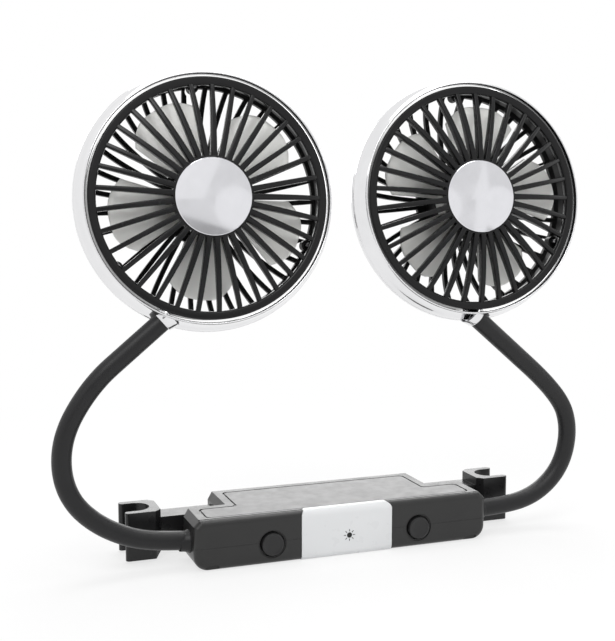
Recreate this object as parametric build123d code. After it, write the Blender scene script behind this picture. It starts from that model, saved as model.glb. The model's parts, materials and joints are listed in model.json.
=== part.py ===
from build123d import *

import os
from math import cos, radians, sin

# A fan unit for a car seat: a body that hooks between the headrest's two posts, and two fan heads on
# bendable necks. Millimetres. +Z is up, -Y is the front, +X is the right-hand side seen from the front.
# The origin is midway between the two posts, at half the height of the body.

# Body
BODY_LENGTH = 154.0
BODY_HEIGHT = 24.4
BAR_DEPTH = 25.0
REAR_WIDTH = 116.0
REAR_REACH = 50.5
POST_SETBACK = 36.0
WALL = 2.0
SEAM_HEIGHT = 11.0
TOP_CHAMFER = 3.0
FOOT_RADIUS = 7.0
FRONT_RADIUS = 3.0
CORNER_CHAMFER = 3.5
REAR_CHAMFER = 3.0
GROOVE_INSET = 4.0
GROOVE_WIDTH = 0.8
GROOVE_DEPTH = 0.5
SHOULDER_GROOVE_SETBACK = 3.4
NOTCH_WIDTH = 7.0
NOTCH_HEIGHT = 2.6
NOTCH_DEPTH = 1.6
NOTCH_FROM_END = 5.0

# Light panel
LENS_WIDTH = 47.6
LENS_PROUD = 0.3
LENS_WRAP = 4.6
LENS_CORNER = 3.2
LIGHT_BOARD_WIDTH = 40.0
LIGHT_BOARD_HEIGHT = 13.0
LIGHT_GAP = 3.6
LED_COUNT = 6
LED_SPACING = 6.4
LED_RADIUS = 1.0

# Buttons and boards
BUTTON_SPACING = 77.4
BUTTON_HEIGHT = 9.9
BUTTON_RADIUS = 6.0
BUTTON_PROUD = 1.3
BUTTON_FLANGE = 1.2
BUTTON_TRAVEL = 1.0
BUTTON_STEM_RADIUS = 1.6
DISH_RADIUS = 6.9
DISH_DEPTH = 0.5
BOARD_THICKNESS = 1.2
BOARD_LENGTH = 104.0
BOARD_DEPTH = 20.0
BOARD_FRONT_GAP = 3.4
SWITCH_WIDTH = 6.0
SWITCH_DEPTH = 3.6
STANDOFF_RADIUS = 2.4
INLET_WIDTH = 9.0
INLET_HEIGHT = 3.4
INLET_LENGTH = 5.6
INLET_OFFSET = 20.0
INLET_FLOOR_GAP = 5.4

# Screws
SCREW_RADIUS = 1.2
SCREW_HEAD_RADIUS = 2.5
SCREW_HEAD_HEIGHT = 1.6
SCREW_LENGTH = 9.0
SCREW_POST_RADIUS = 3.1
HOUSING_SCREWS = ((-59.0, 6.5), (59.0, 6.5), (-50.5, 46.4), (50.5, 46.4))

# Hook arms
POST_SPACING = 196.0
HOOK_BORE_RADIUS = 7.0
HOOK_HEIGHT = 23.7
HOOK_WIDTH = 21.6
HOOK_BACK = 4.2
HOOK_REACH = 6.4
HOOK_TIP_RADIUS = 1.8
HOOK_FOOT_CHAMFER = 3.0
HOOK_CORNER = 3.0
ARM_WIDTH = 13.0
ARM_HEIGHT = 14.0
ARM_TOP_DROP = 4.4
ARM_INSIDE = 28.0
ARM_TRAVEL = 20.0
ARM_FLANGE = 3.0
ARM_FLANGE_PROUD = 1.5
SPRING_BORE_RADIUS = 4.6
SPRING_BORE_DEPTH = 14.0
SPRING_RADIUS = 3.7
SPRING_WIRE = 0.45
STOP_THICKNESS = 2.0
CENTRE_STOP = 4.0

# Necks
SLEEVE_RADIUS = 4.6
SLEEVE_BORE = 3.3
CORE_RADIUS = 3.2
CORE_BORE = 1.7
NECK_FROM_FRONT = 12.0
NECK_TAIL = 16.0
FERRULE_RADIUS = 5.6
FERRULE_LENGTH = 5.0
FERRULE_FLANGE_RADIUS = 6.6
FERRULE_FLANGE = 1.5
SADDLE_THICKNESS = 2.0
NUT_RADIUS = 5.6
NUT_LENGTH = 2.6
NECK_BEND_SHARE = 0.45

# Corners of the two necks' routes, from beside the body's end wall to below the head: x from the middle,
# y from the front face, z from the height where they leave the body. A gooseneck stays as it was bent.
LEFT_ROUTE = ((-92, 12, 0), (-118, 12, 9.8), (-135, 10.5, 27.8), (-137, 8.5, 53.8), (-123, 6, 78.8))
RIGHT_ROUTE = ((92, 12, 0), (114, 12, 4.3), (129, 11, 19), (132, 9, 41), (123, 7, 60))

# Heads
HEAD_SPACING = 135.2
HEAD_HEIGHT = 175.0
HEAD_FRONT = 0.0
HEAD_TILT = 6.5
HEAD_TURN = -3.0
LEFT_SOCKET_ANGLE = 21.5
RIGHT_SOCKET_ANGLE = 0.0
SOCKET_DEPTH = 7.0
SOCKET_TIP_RADIUS = 5.6
SOCKET_TAPER = 0.32
SOCKET_LENGTH = 4.5
RIM_RADIUS = 57.8
RIM_WALL = 1.3
RIM_DEPTH = 13.0
RIM_PROUD = 0.6
RIM_FLARE = 1.4
RIM_SEAM_HEIGHT = 3.2
RIM_SEAM_WIDTH = 0.6
RIM_SEAM_DEPTH = 0.4
RIM_LIP = 2.0
GRILLE_INSET = 2.4
GRILLE_BAND = 3.9
GRILLE_SKIRT = 8.0
SKIRT_WALL = 1.5
RIB_COUNT = 33
RIB_WIDTH_OUT = 2.3
RIB_WIDTH_IN = 2.6
RIB_DEPTH_OUT = 3.0
RIB_DEPTH_IN = 5.0
HUB_RADIUS = 18.6
HUB_RISE = 7.0
DOME_BULGE = 1.3
CAP_RADIUS = 17.6
CAP_EDGE = 1.2
CAP_DOME = 1.4
CAP_RECESS = 0.8
GUARD_DEPTH = 31.0
GUARD_BAND = 4.4
GUARD_THICKNESS = 2.4
GUARD_HUB_RADIUS = 19.0
GUARD_RIBS = 33
GUARD_RIB_WIDTH = 2.2
GUARD_BULGE = 6.0
MOTOR_RADIUS = 12.5
MOTOR_LENGTH = 14.0
MOTOR_CUP_WALL = 1.6
SHAFT_RADIUS = 1.0
SHAFT_FIT = 0.05
BLADE_TIP_GAP = 4.5
IMPELLER_HUB_RADIUS = 15.5
IMPELLER_HUB_DEPTH = 12.0
MOTOR_GAP = 1.0
BLADE_COUNT = 5
BLADE_THICKNESS = 1.3
BLADE_PITCH = 30.0
BLADE_CAMBER = 3.2
BLADE_SHEET_WIDTH = 52.0
BLADE_ROOT_WIDTH = 15.0
BLADE_LEAD = 15.5
BLADE_LEAD_DROP = 4.0
BLADE_LEAD_WAIST = (15.5, 9.0)
BLADE_TRAIL = 20.0
BLADE_TRAIL_DROP = 6.0
BLADE_TRAIL_WAIST = (12.5, 14.5)
LEFT_BLADE_ANGLE = 50.0
RIGHT_BLADE_ANGLE = 11.0
GUARD_SCREW_COUNT = 3
GUARD_SCREW_INSET = 3.4
GUARD_SCREW_RADIUS = 1.1
GUARD_SCREW_HEAD = 1.9
GUARD_SCREW_HEAD_HEIGHT = 1.2
GUARD_SCREW_LENGTH = 8.0
GUARD_BOSS_RADIUS = 2.6

# Clearances
FIT = 0.15
SLIDE = 0.3
RUNNING = 1.0

# Places that follow from the sizes
FRONT = -POST_SETBACK
UNDERSIDE = -BODY_HEIGHT / 2
TOP = BODY_HEIGHT / 2
SEAM = UNDERSIDE + SEAM_HEIGHT
END = BODY_LENGTH / 2
BAR_BACK = FRONT + BAR_DEPTH
REAR_BACK = FRONT + REAR_REACH
REAR_HALF = REAR_WIDTH / 2
FLOOR = UNDERSIDE + WALL
CEILING = TOP - WALL
BUTTON_Z = UNDERSIDE + BUTTON_HEIGHT
POST_X = POST_SPACING / 2
ARM_TOP = TOP - ARM_TOP_DROP
ARM_MIDDLE = ARM_TOP - ARM_HEIGHT / 2
HOOK_INNER = POST_X - HOOK_BORE_RADIUS - HOOK_BACK
ARM_INNER_END = REAR_HALF - ARM_INSIDE
STOP_OUTER = ARM_INNER_END + ARM_FLANGE + SLIDE
NECK_Y = FRONT + NECK_FROM_FRONT
GUARD_TOP = -GRILLE_SKIRT
GRILLE_RADIUS = RIM_RADIUS - GRILLE_INSET
GUARD_SCREW_CIRCLE = GRILLE_RADIUS - GUARD_SCREW_INSET
IMPELLER_RADIUS = GRILLE_RADIUS - GRILLE_BAND - BLADE_TIP_GAP
MOTOR_BACK = -GUARD_DEPTH + GUARD_THICKNESS
MOTOR_FRONT = MOTOR_BACK + MOTOR_LENGTH
IMPELLER_BACK = MOTOR_FRONT + MOTOR_GAP
IMPELLER_FRONT = IMPELLER_BACK + IMPELLER_HUB_DEPTH


def block(x0, x1, y0, y1, z0, z1):
    """A box between two corners."""
    return Pos((x0 + x1) / 2, (y0 + y1) / 2, (z0 + z1) / 2) * Box(abs(x1 - x0), abs(y1 - y0), abs(z1 - z0))


def rod(radius, start, end, along="Z"):
    """A cylinder on a coordinate axis, from start to end."""
    turn = {"Z": Rot(0, 0, 0), "X": Rot(0, 90, 0), "Y": Rot(-90, 0, 0)}[along]
    return turn * Pos(0, 0, (start + end) / 2) * Cylinder(radius, abs(end - start))


def body_block(inset):
    """The body's form, drawn in by inset on every side: the long bar and the wide box behind it."""
    bar = block(-END + inset, END - inset, FRONT + inset, BAR_BACK - inset, UNDERSIDE + inset, TOP - inset)
    ends = bar.edges().filter_by(Axis.Y).group_by(Axis.Z)
    bar = fillet(ends[0], FOOT_RADIUS - inset)
    bar = chamfer(bar.edges().filter_by(Axis.Y).group_by(Axis.Z)[-1], TOP_CHAMFER - inset / 2)
    back = bar.edges().filter_by(Axis.Z).group_by(Axis.Y)[-1]
    bar = chamfer(back, CORNER_CHAMFER - inset / 2)
    bar = fillet(bar.faces().sort_by(Axis.Y)[0].edges(), FRONT_RADIUS - inset)
    rear = block(-REAR_HALF + inset, REAR_HALF - inset, BAR_BACK - BAR_DEPTH / 2, REAR_BACK - inset,
                 UNDERSIDE + inset, TOP - inset)
    rear = chamfer(rear.edges().filter_by(Axis.Z).group_by(Axis.Y)[-1], REAR_CHAMFER - inset / 2)
    rear = chamfer(rear.edges().filter_by(Axis.Y).group_by(Axis.Z)[-1], REAR_CHAMFER - inset / 2)
    return bar + rear


def top_outline(inset):
    """The plateau's outline seen from above, drawn in by inset, with rounded corners."""
    half = END - TOP_CHAMFER - inset
    rear = REAR_HALF - REAR_CHAMFER - inset
    front, middle, back = FRONT + SHOULDER_GROOVE_SETBACK + inset / 2, BAR_BACK - inset, REAR_BACK - inset
    corners = [(-half, front), (half, front), (half, middle), (rear, middle)]
    corners += [(rear, back), (-rear, back), (-rear, middle), (-half, middle)]
    face = make_face(Polyline(*corners, close=True))
    return fillet(face.vertices(), 2.4)


def contour_groove():
    """The line moulded into the plateau, all round and inside its edge."""
    ring = top_outline(GROOVE_INSET) - top_outline(GROOVE_INSET + GROOVE_WIDTH)
    return extrude(Pos(0, 0, TOP - GROOVE_DEPTH) * ring, GROOVE_DEPTH + RUNNING)


def shoulder_groove():
    """The straight line where the plateau meets the rounded front."""
    y = FRONT + SHOULDER_GROOVE_SETBACK
    return block(-END, END, y - GROOVE_WIDTH / 2, y + GROOVE_WIDTH / 2, TOP - GROOVE_DEPTH, TOP + RUNNING)


def lens_outline(grow):
    """The light panel's outline seen from the front, grown by grow."""
    half = LENS_WIDTH / 2 + grow
    low, high = UNDERSIDE - RUNNING, TOP + LENS_PROUD + grow
    panel = block(-half, half, FRONT - RUNNING, FRONT + LENS_WRAP + grow, low, high)
    return fillet(panel.edges().filter_by(Axis.Y).group_by(Axis.Z)[-1], LENS_CORNER + grow)


def corner_notches():
    """Arched notches in the front corners of the underside."""
    notches = []
    for side in (-1, 1):
        x = side * (END - NOTCH_FROM_END - NOTCH_WIDTH / 2)
        arch = block(x - NOTCH_WIDTH / 2, x + NOTCH_WIDTH / 2, FRONT - RUNNING, FRONT + NOTCH_DEPTH,
                     UNDERSIDE - RUNNING, UNDERSIDE + NOTCH_HEIGHT)
        notches.append(fillet(arch.edges().filter_by(Axis.Y).group_by(Axis.Z)[-1], NOTCH_HEIGHT * 0.6))
    return notches


def arm_window(clearance):
    """The space that a hook arm passes through, on both sides."""
    spaces = []
    for side in (-1, 1):
        spaces.append(block(side * (ARM_INNER_END + 2 * ARM_FLANGE), side * (END + 2 * RUNNING),
                            -ARM_WIDTH / 2 - clearance, ARM_WIDTH / 2 + clearance,
                            ARM_MIDDLE - ARM_HEIGHT / 2 - clearance, ARM_TOP + clearance))
    return spaces


def neck_ports():
    """The round holes in the end walls that the ferrules pass through."""
    return [
        Pos(0, NECK_Y, 0) * rod(FERRULE_RADIUS + FIT, side * (END - 2 * WALL), side * (END + RUNNING), "X")
        for side in (-1, 1)
    ]


def neck_saddles():
    """Cross walls that hold the end of each neck's steel core, with its nut between them."""
    walls = []
    nut_room = NUT_LENGTH + 2 * SLIDE
    outer = END - WALL - FERRULE_FLANGE - 2 * SLIDE
    for side in (-1, 1):
        for start in (outer, outer - SADDLE_THICKNESS - nut_room):
            wall = block(side * start, side * (start - SADDLE_THICKNESS), NECK_Y - 7, NECK_Y + 7,
                         FLOOR - WALL / 2, CEILING + WALL / 2)
            walls.append(wall - Pos(0, NECK_Y, 0) * rod(CORE_RADIUS + FIT, side * start,
                                                         side * (start - SADDLE_THICKNESS), "X"))
    return walls


def button_places():
    """The centres of the two buttons on the front face."""
    return [Pos(side * BUTTON_SPACING / 2, 0, BUTTON_Z) for side in (-1, 1)]


def housing_shell():
    """Both housing halves before they are parted at the seam."""
    shell = body_block(0) - body_block(WALL)
    shell -= lens_outline(FIT)
    for place in button_places():
        shell -= place * rod(BUTTON_RADIUS + SLIDE, FRONT - RUNNING, FRONT + 2 * WALL, "Y")
        shell -= place * rod(DISH_RADIUS, FRONT - RUNNING, FRONT + DISH_DEPTH, "Y")
    for cut in arm_window(SLIDE) + neck_ports() + corner_notches():
        shell -= cut
    return shell - contour_groove() - shoulder_groove()


def arm_stops():
    """Cross walls inside the rear box: one stops each arm's flange, and the middle one backs the springs."""
    low, high = FLOOR - WALL / 2, ARM_TOP + ARM_FLANGE_PROUD
    walls = []
    for side in (-1, 1):
        wall = block(side * STOP_OUTER, side * (STOP_OUTER + STOP_THICKNESS), BAR_BACK + 1,
                     REAR_BACK - 1.5 * WALL, low, high)
        half, under = ARM_WIDTH / 2 + SLIDE, ARM_MIDDLE - ARM_HEIGHT / 2 - SLIDE
        slot = block(side * (STOP_OUTER - 1), side * (STOP_OUTER + STOP_THICKNESS + 1), -half, half, under, high + 1)
        walls.append(wall - slot)
    walls.append(block(-CENTRE_STOP / 2, CENTRE_STOP / 2, -ARM_WIDTH / 2, ARM_WIDTH / 2, low, high))
    return walls


def board_bottom():
    """The underside of the control board, which carries the switches at the height of the buttons."""
    return BUTTON_Z - SWITCH_WIDTH / 2 - BOARD_THICKNESS


def lower_housing(shell):
    """The tray: the shell below the seam with its posts, saddles and stops."""
    tray = shell & block(-END - 1, END + 1, FRONT - 1, REAR_BACK + 1, UNDERSIDE - 1, SEAM)
    below = block(-END, END, FRONT, REAR_BACK, UNDERSIDE, SEAM)
    for wall in neck_saddles():
        tray += wall & below
    for wall in arm_stops():
        tray += wall
    for x, y in HOUSING_SCREWS:
        tray += Pos(x, FRONT + y, 0) * rod(SCREW_POST_RADIUS, FLOOR - WALL / 2, SEAM)
    for x in (-BOARD_LENGTH / 2 + 6, BOARD_LENGTH / 2 - 6):
        for y in (BOARD_FRONT_GAP + WALL + 8.5, BOARD_FRONT_GAP + WALL + 17):
            tray += Pos(x, FRONT + y, 0) * rod(STANDOFF_RADIUS, FLOOR - WALL / 2, board_bottom())
    for x, y in HOUSING_SCREWS:
        tray -= Pos(x, FRONT + y, 0) * rod(SCREW_RADIUS + SLIDE, UNDERSIDE - 1, SEAM + 1)
        sink = rod(SCREW_HEAD_RADIUS + SLIDE, UNDERSIDE - 1, UNDERSIDE + SCREW_HEAD_HEIGHT + FIT)
        tray -= Pos(x, FRONT + y, 0) * sink
    return tray - inlet_window()


def top_cover(shell):
    """The lid: the shell above the seam with its screw bosses and the upper halves of the saddles."""
    above = block(-END - 1, END + 1, FRONT - 1, REAR_BACK + 1, SEAM, TOP + 1)
    lid = shell & above
    for wall in neck_saddles():
        lid += wall & above
    screw_end = UNDERSIDE + FIT + SCREW_HEAD_HEIGHT + SCREW_LENGTH
    for x, y in HOUSING_SCREWS:
        lid += Pos(x, FRONT + y, 0) * rod(SCREW_POST_RADIUS, SEAM, CEILING + WALL / 2)
        lid -= Pos(x, FRONT + y, 0) * rod(SCREW_RADIUS + FIT / 3, SEAM - 1, screw_end + RUNNING)
    return lid


def inlet_window():
    """The opening for the power inlet in the back wall."""
    z = FLOOR + INLET_FLOOR_GAP
    half_w, half_h = INLET_WIDTH / 2 + FIT, INLET_HEIGHT / 2 + FIT
    hole = block(INLET_OFFSET - half_w, INLET_OFFSET + half_w, REAR_BACK - 2 * WALL, REAR_BACK + 1,
                 z - half_h, z + half_h)
    return fillet(hole.edges().filter_by(Axis.Y), INLET_HEIGHT / 2.2)


def power_inlet():
    """A flat, round-ended metal socket in the back wall, open to the rear, with its contact tongue."""
    z = FLOOR + INLET_FLOOR_GAP
    half_w, half_h, skin = INLET_WIDTH / 2, INLET_HEIGHT / 2, 0.35
    back = REAR_BACK - INLET_LENGTH
    shell = block(-half_w, half_w, back, REAR_BACK - 0.2, -half_h, half_h)
    shell = fillet(shell.edges().filter_by(Axis.Y), INLET_HEIGHT / 2.2)
    bore = block(-half_w + skin, half_w - skin, back + 1, REAR_BACK + 1, -half_h + skin, half_h - skin)
    tongue = block(-half_w * 0.72, half_w * 0.72, back + 0.5, REAR_BACK - 1.2, -skin, skin)
    foot = block(-half_w, half_w, back, REAR_BACK - WALL - SLIDE, FLOOR - z, -half_h + 1)
    return Pos(INLET_OFFSET, 0, z) * (shell - fillet(bore.edges().filter_by(Axis.Y), 1.0) + tongue + foot)


def light_lens():
    """The white panel: it covers the front and wraps on to the top, flush with the body."""
    skin = body_block(-LENS_PROUD) - body_block(WALL)
    panel = skin & lens_outline(0)
    return panel & block(-END, END, FRONT - RUNNING, BAR_BACK, UNDERSIDE, TOP + RUNNING)


def light_board():
    """The strip of lamps behind the panel, standing on the control board."""
    back = FRONT + WALL + LIGHT_GAP
    low = board_bottom() + BOARD_THICKNESS
    half = LIGHT_BOARD_WIDTH / 2
    board = block(-half, half, back, back + BOARD_THICKNESS, low, low + LIGHT_BOARD_HEIGHT)
    for i in range(LED_COUNT):
        x = (i - (LED_COUNT - 1) / 2) * LED_SPACING
        board += Pos(x, back, low + LIGHT_BOARD_HEIGHT / 2) * Sphere(LED_RADIUS)
    return board


def control_board():
    """The circuit board, with its driver chip and two coils."""
    front = FRONT + WALL + BOARD_FRONT_GAP
    low = board_bottom()
    board = block(-BOARD_LENGTH / 2, BOARD_LENGTH / 2, front, front + BOARD_DEPTH, low, low + BOARD_THICKNESS)
    for x, y in HOUSING_SCREWS:
        board -= Pos(x, FRONT + y, 0) * rod(SCREW_POST_RADIUS + SLIDE, low - 1, low + 3)
    top = low + BOARD_THICKNESS
    board += block(-6, 6, front + 8, front + 15, top, top + 1.6)
    for x in (-20, 20):
        board += Pos(x, front + 11, 0) * rod(3.5, top, top + 4)
    return board


def button():
    """A round push button with a rounded rim, a shallow dish, a flange behind the wall and a stem."""
    face = FRONT - BUTTON_PROUD
    cap = rod(BUTTON_RADIUS, face, FRONT + WALL + BUTTON_TRAVEL, "Y")
    cap = fillet(cap.faces().sort_by(Axis.Y)[0].edges(), 0.8)
    dish = Pos(0, face - 21.6, 0) * Sphere(22.0)
    flange_front = FRONT + WALL + SLIDE
    flange = rod(BUTTON_RADIUS + BUTTON_FLANGE, flange_front, flange_front + 1.2, "Y")
    stem = rod(BUTTON_STEM_RADIUS, flange_front, switch_front() - BUTTON_TRAVEL - SLIDE, "Y")
    return cap - dish + flange + stem


def switch_front():
    """The front of the switch bodies."""
    return FRONT + 2 * WALL + BUTTON_TRAVEL + 4.0


def tact_switch():
    """A push switch standing on the board, its plunger towards the button."""
    front = switch_front()
    half = SWITCH_WIDTH / 2
    body = block(-half, half, front, front + SWITCH_DEPTH, -half, half)
    body = fillet(body.edges().filter_by(Axis.Y), 0.6)
    back = front + SWITCH_DEPTH
    legs = block(-half, half, front + 0.8, front + 1.4, -half, -half + 0.8)
    legs += block(-half - 0.6, half + 0.6, back - 1.4, back - 0.8, -half, -half + 0.8)
    return body + legs


def screw(length, radius, head_radius, head_height):
    """A pan-head screw with its head at the bottom and a cross recess."""
    body = rod(head_radius, 0, head_height) + rod(radius, 0, head_height + length)
    slot = Box(head_radius * 1.2, 0.5, 1.2) + Box(0.5, head_radius * 1.2, 1.2)
    return body - slot


def housing_screws():
    """The four screws that hold the lid down on the tray."""
    one = screw(SCREW_LENGTH, SCREW_RADIUS, SCREW_HEAD_RADIUS, SCREW_HEAD_HEIGHT)
    return Compound([Pos(x, FRONT + y, UNDERSIDE + FIT) * one for x, y in HOUSING_SCREWS])


def hook_arm():
    """The right-hand arm: a hook for a headrest post, a square arm and a flange inside the body."""
    low = TOP - HOOK_HEIGHT
    tip = POST_X + HOOK_REACH
    hook = block(HOOK_INNER, tip, -HOOK_WIDTH / 2, HOOK_WIDTH / 2, low, TOP)
    hook -= Pos(POST_X, 0, 0) * rod(HOOK_BORE_RADIUS, low - 1, TOP + 1)
    hook -= block(POST_X, tip + 1, -HOOK_BORE_RADIUS, HOOK_BORE_RADIUS, low - 1, TOP + 1)
    corners = hook.edges().filter_by(Axis.Z)
    tips = corners.group_by(Axis.X)[-1]
    hook = fillet(tips, HOOK_TIP_RADIUS)
    hook = chamfer(hook.edges().filter_by(Axis.Z).group_by(Axis.X)[0], HOOK_CORNER)
    hook = chamfer(hook.edges().filter_by(Axis.Y).group_by(Axis.Z)[0].sort_by(Axis.X)[0], HOOK_FOOT_CHAMFER)
    arm = block(ARM_INNER_END, HOOK_INNER + 1, -ARM_WIDTH / 2, ARM_WIDTH / 2, ARM_MIDDLE - ARM_HEIGHT / 2, ARM_TOP)
    flange = block(ARM_INNER_END, ARM_INNER_END + ARM_FLANGE, -ARM_WIDTH / 2 - ARM_FLANGE_PROUD,
                   ARM_WIDTH / 2 + ARM_FLANGE_PROUD, ARM_MIDDLE - ARM_HEIGHT / 2, ARM_TOP)
    bore = rod(SPRING_BORE_RADIUS, ARM_INNER_END - 1, ARM_INNER_END + SPRING_BORE_DEPTH, "X")
    return hook + arm + flange - Pos(0, 0, ARM_MIDDLE) * bore


def arm_spring():
    """The right-hand compression spring, from the middle stop to the bottom of the arm's bore."""
    start = CENTRE_STOP / 2 + SLIDE
    end = ARM_INNER_END + SPRING_BORE_DEPTH - SLIDE
    coil = rod(SPRING_RADIUS, start, end, "X") - rod(SPRING_RADIUS - 2 * SPRING_WIRE, start - 1, end + 1, "X")
    return Pos(0, 0, ARM_MIDDLE) * coil


def neck_axis_line(side):
    """Every corner of a neck's route, from inside the body to the socket on the head's rim."""
    route = LEFT_ROUTE if side < 0 else RIGHT_ROUTE
    points = [Vector(side * (END - NECK_TAIL), NECK_Y, 0)]
    points += [Vector(x, FRONT + y, z) for x, y, z in route]
    return points + [socket_point(side)]


def socket_point(side):
    """Where a neck meets the outside of its head's rim."""
    angle = radians(LEFT_SOCKET_ANGLE if side < 0 else RIGHT_SOCKET_ANGLE)
    place = head_plane(side)
    out = place.x_dir * (side * sin(angle)) - place.y_dir * cos(angle)
    return place.origin - place.z_dir * SOCKET_DEPTH + out * RIM_RADIUS


def head_plane(side):
    """A head's own frame: origin at the middle of its front, +Z out of the front, +Y up."""
    turn, tilt = radians(HEAD_TURN), radians(HEAD_TILT)
    ahead = Vector(sin(turn) * cos(tilt), -cos(turn) * cos(tilt), sin(tilt))
    origin = (side * HEAD_SPACING / 2, FRONT + HEAD_FRONT, UNDERSIDE + HEAD_HEIGHT)
    return Plane(origin=origin, x_dir=(cos(turn), sin(turn), 0), z_dir=ahead)


def neck_path(points):
    """Straight runs joined by tangent arcs, each as large as its two runs allow."""
    radii = []
    for before, corner, after in zip(points, points[1:], points[2:]):
        run_in, run_out = corner - before, after - corner
        half_turn = radians(run_in.get_angle(run_out)) / 2
        radii.append(NECK_BEND_SHARE * min(run_in.length, run_out.length) * cos(half_turn) / sin(half_turn))
    return FilletPolyline(*points, radius=radii), radii


def neck_joints(side):
    """The three points where a neck bends, on the straight parts of its runs, and the way it runs there."""
    points = neck_axis_line(side)
    swing = (points[1] + points[2]) * 0.5
    lean = (points[3] + points[4]) * 0.5
    last = (points[-1] - points[-2]).normalized()
    turn = points[-1] - last * 20.0
    return [
        (swing, (points[2] - points[1]).normalized()),
        (lean, (points[4] - points[3]).normalized()),
        (turn, last),
    ]


def neck_lengths(side, radius, bore, start):
    """One tube along a neck's route, cut at its joints into foot, lower, upper and head lengths."""
    path, _ = neck_path(neck_axis_line(side))
    square = Plane(origin=path @ 0, z_dir=path % 0)
    tube = sweep(square * (Circle(radius) - Circle(bore)), path=path)
    swing, lean, turn = neck_joints(side)
    below = split(tube, Plane(origin=lean[0], z_dir=lean[1]), keep=Keep.BOTTOM)
    above = split(tube, Plane(origin=lean[0], z_dir=lean[1]), keep=Keep.TOP)
    foot = split(below, Plane(origin=swing[0], z_dir=swing[1]), keep=Keep.BOTTOM)
    lower = split(below, Plane(origin=swing[0], z_dir=swing[1]), keep=Keep.TOP)
    upper = split(above, Plane(origin=turn[0], z_dir=turn[1]), keep=Keep.BOTTOM)
    head = split(above, Plane(origin=turn[0], z_dir=turn[1]), keep=Keep.TOP)
    foot &= block(side * start, side * 2 * END, FRONT, BAR_BACK, UNDERSIDE, TOP)
    head -= head_plane(side).location * (rim_body(FIT) + rod(RIM_RADIUS, -2 * RIM_DEPTH, RIM_DEPTH))
    return foot, lower, upper, head


def ferrule():
    """The right-hand collar where a neck leaves the body: a tapered nose and a flange inside the wall."""
    nose = FERRULE_RADIUS - 0.5
    inside = END - WALL - SLIDE - FERRULE_FLANGE
    bore, shoulder, tip = SLEEVE_RADIUS + FIT, inside + FERRULE_FLANGE, END + FERRULE_LENGTH
    profile = Polyline((bore, inside), (FERRULE_FLANGE_RADIUS, inside), (FERRULE_FLANGE_RADIUS, shoulder),
                       (FERRULE_RADIUS, shoulder), (FERRULE_RADIUS, END + 1), (nose, tip), (bore, tip), close=True)
    ring = revolve(Plane.XZ * make_face(profile), Axis.Z)
    return Pos(0, NECK_Y, 0) * Rot(0, 90, 0) * ring


def neck_nut():
    """The right-hand nut on the end of the steel core, between the two saddle walls."""
    start = END - WALL - FERRULE_FLANGE - 3 * SLIDE - SADDLE_THICKNESS
    nut = extrude(RegularPolygon(NUT_RADIUS, 6), NUT_LENGTH) - rod(CORE_RADIUS + FIT / 3, -1, NUT_LENGTH + 1)
    return Pos(start - NUT_LENGTH, NECK_Y, 0) * Rot(0, 90, 0) * nut


def mirrored(solid):
    """The left-hand copy of a right-hand piece."""
    return mirror(solid, Plane.YZ)


def dome(radius_in, z_in, radius_out, z_out, bulge, depth_in, depth_out):
    """A revolved dome band between two radii, bulging forwards, with a thickness at each edge."""
    middle = ((radius_in + radius_out) / 2, (z_in + z_out) / 2 + bulge)
    under = (middle[0], middle[1] - (depth_in + depth_out) / 2)
    top = ThreePointArc((radius_in, z_in), middle, (radius_out, z_out))
    outer = Line((radius_out, z_out), (radius_out, z_out - depth_out))
    bottom = ThreePointArc((radius_out, z_out - depth_out), under, (radius_in, z_in - depth_in))
    inner = Line((radius_in, z_in - depth_in), (radius_in, z_in))
    return revolve(Plane.XZ * make_face([top, outer, bottom, inner]), Axis.Z)


def rib_gaps(count, radius_in, radius_out, width_in, width_out):
    """The openings between radial ribs, as upright prisms."""
    rib = make_face(Polyline((radius_in - 2, -width_in / 2), (radius_out + 2, -width_out / 2),
                             (radius_out + 2, width_out / 2), (radius_in - 2, width_in / 2), close=True))
    ribs = [Rot(0, 0, 360 / count * i) * rib for i in range(count)]
    gaps = Circle(radius_out) - Circle(radius_in) - ribs
    return extrude(gaps, 60, both=True)


def ring(radius_out, radius_in, low, high):
    """A plain ring on the head's axis."""
    return rod(radius_out, low, high) - rod(radius_in, low - 1, high + 1)


def screw_angles():
    """Angles of the screws round a head."""
    return [90 + 360 / GUARD_SCREW_COUNT * i + 180 / RIB_COUNT for i in range(GUARD_SCREW_COUNT)]


def front_grille():
    """The front grille: a flat outer ring with a skirt, radial ribs rising to a hub, and the cap's seat."""
    opening = GRILLE_RADIUS - GRILLE_BAND
    band = dome(HUB_RADIUS - 1, HUB_RISE, opening + 0.6, -0.3, DOME_BULGE, RIB_DEPTH_IN, RIB_DEPTH_OUT)
    ribs = band - rib_gaps(RIB_COUNT, HUB_RADIUS, opening, RIB_WIDTH_IN, RIB_WIDTH_OUT)
    grille = ribs + ring(GRILLE_RADIUS, opening, -RIB_DEPTH_OUT, 0)
    grille += ring(GRILLE_RADIUS, GRILLE_RADIUS - SKIRT_WALL, -GRILLE_SKIRT, -RIB_DEPTH_OUT)
    grille += rod(HUB_RADIUS, HUB_RISE - RIB_DEPTH_IN, HUB_RISE)
    grille -= rod(CAP_RADIUS + FIT, HUB_RISE - CAP_RECESS, HUB_RISE + 5)
    grille -= rod(HUB_RADIUS - 3, HUB_RISE - RIB_DEPTH_IN - 1, HUB_RISE - CAP_RECESS - 1.6)
    for angle in screw_angles():
        boss = Pos(GUARD_SCREW_CIRCLE, 0, 0) * rod(GUARD_BOSS_RADIUS, -GRILLE_SKIRT, -RIB_DEPTH_OUT + 0.5)
        hole = rod(GUARD_SCREW_RADIUS + FIT / 3, -GRILLE_SKIRT - 1, -RIB_DEPTH_OUT)
        grille += Rot(0, 0, angle) * boss
        grille -= Rot(0, 0, angle) * Pos(GUARD_SCREW_CIRCLE, 0, 0) * hole
    return grille


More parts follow.
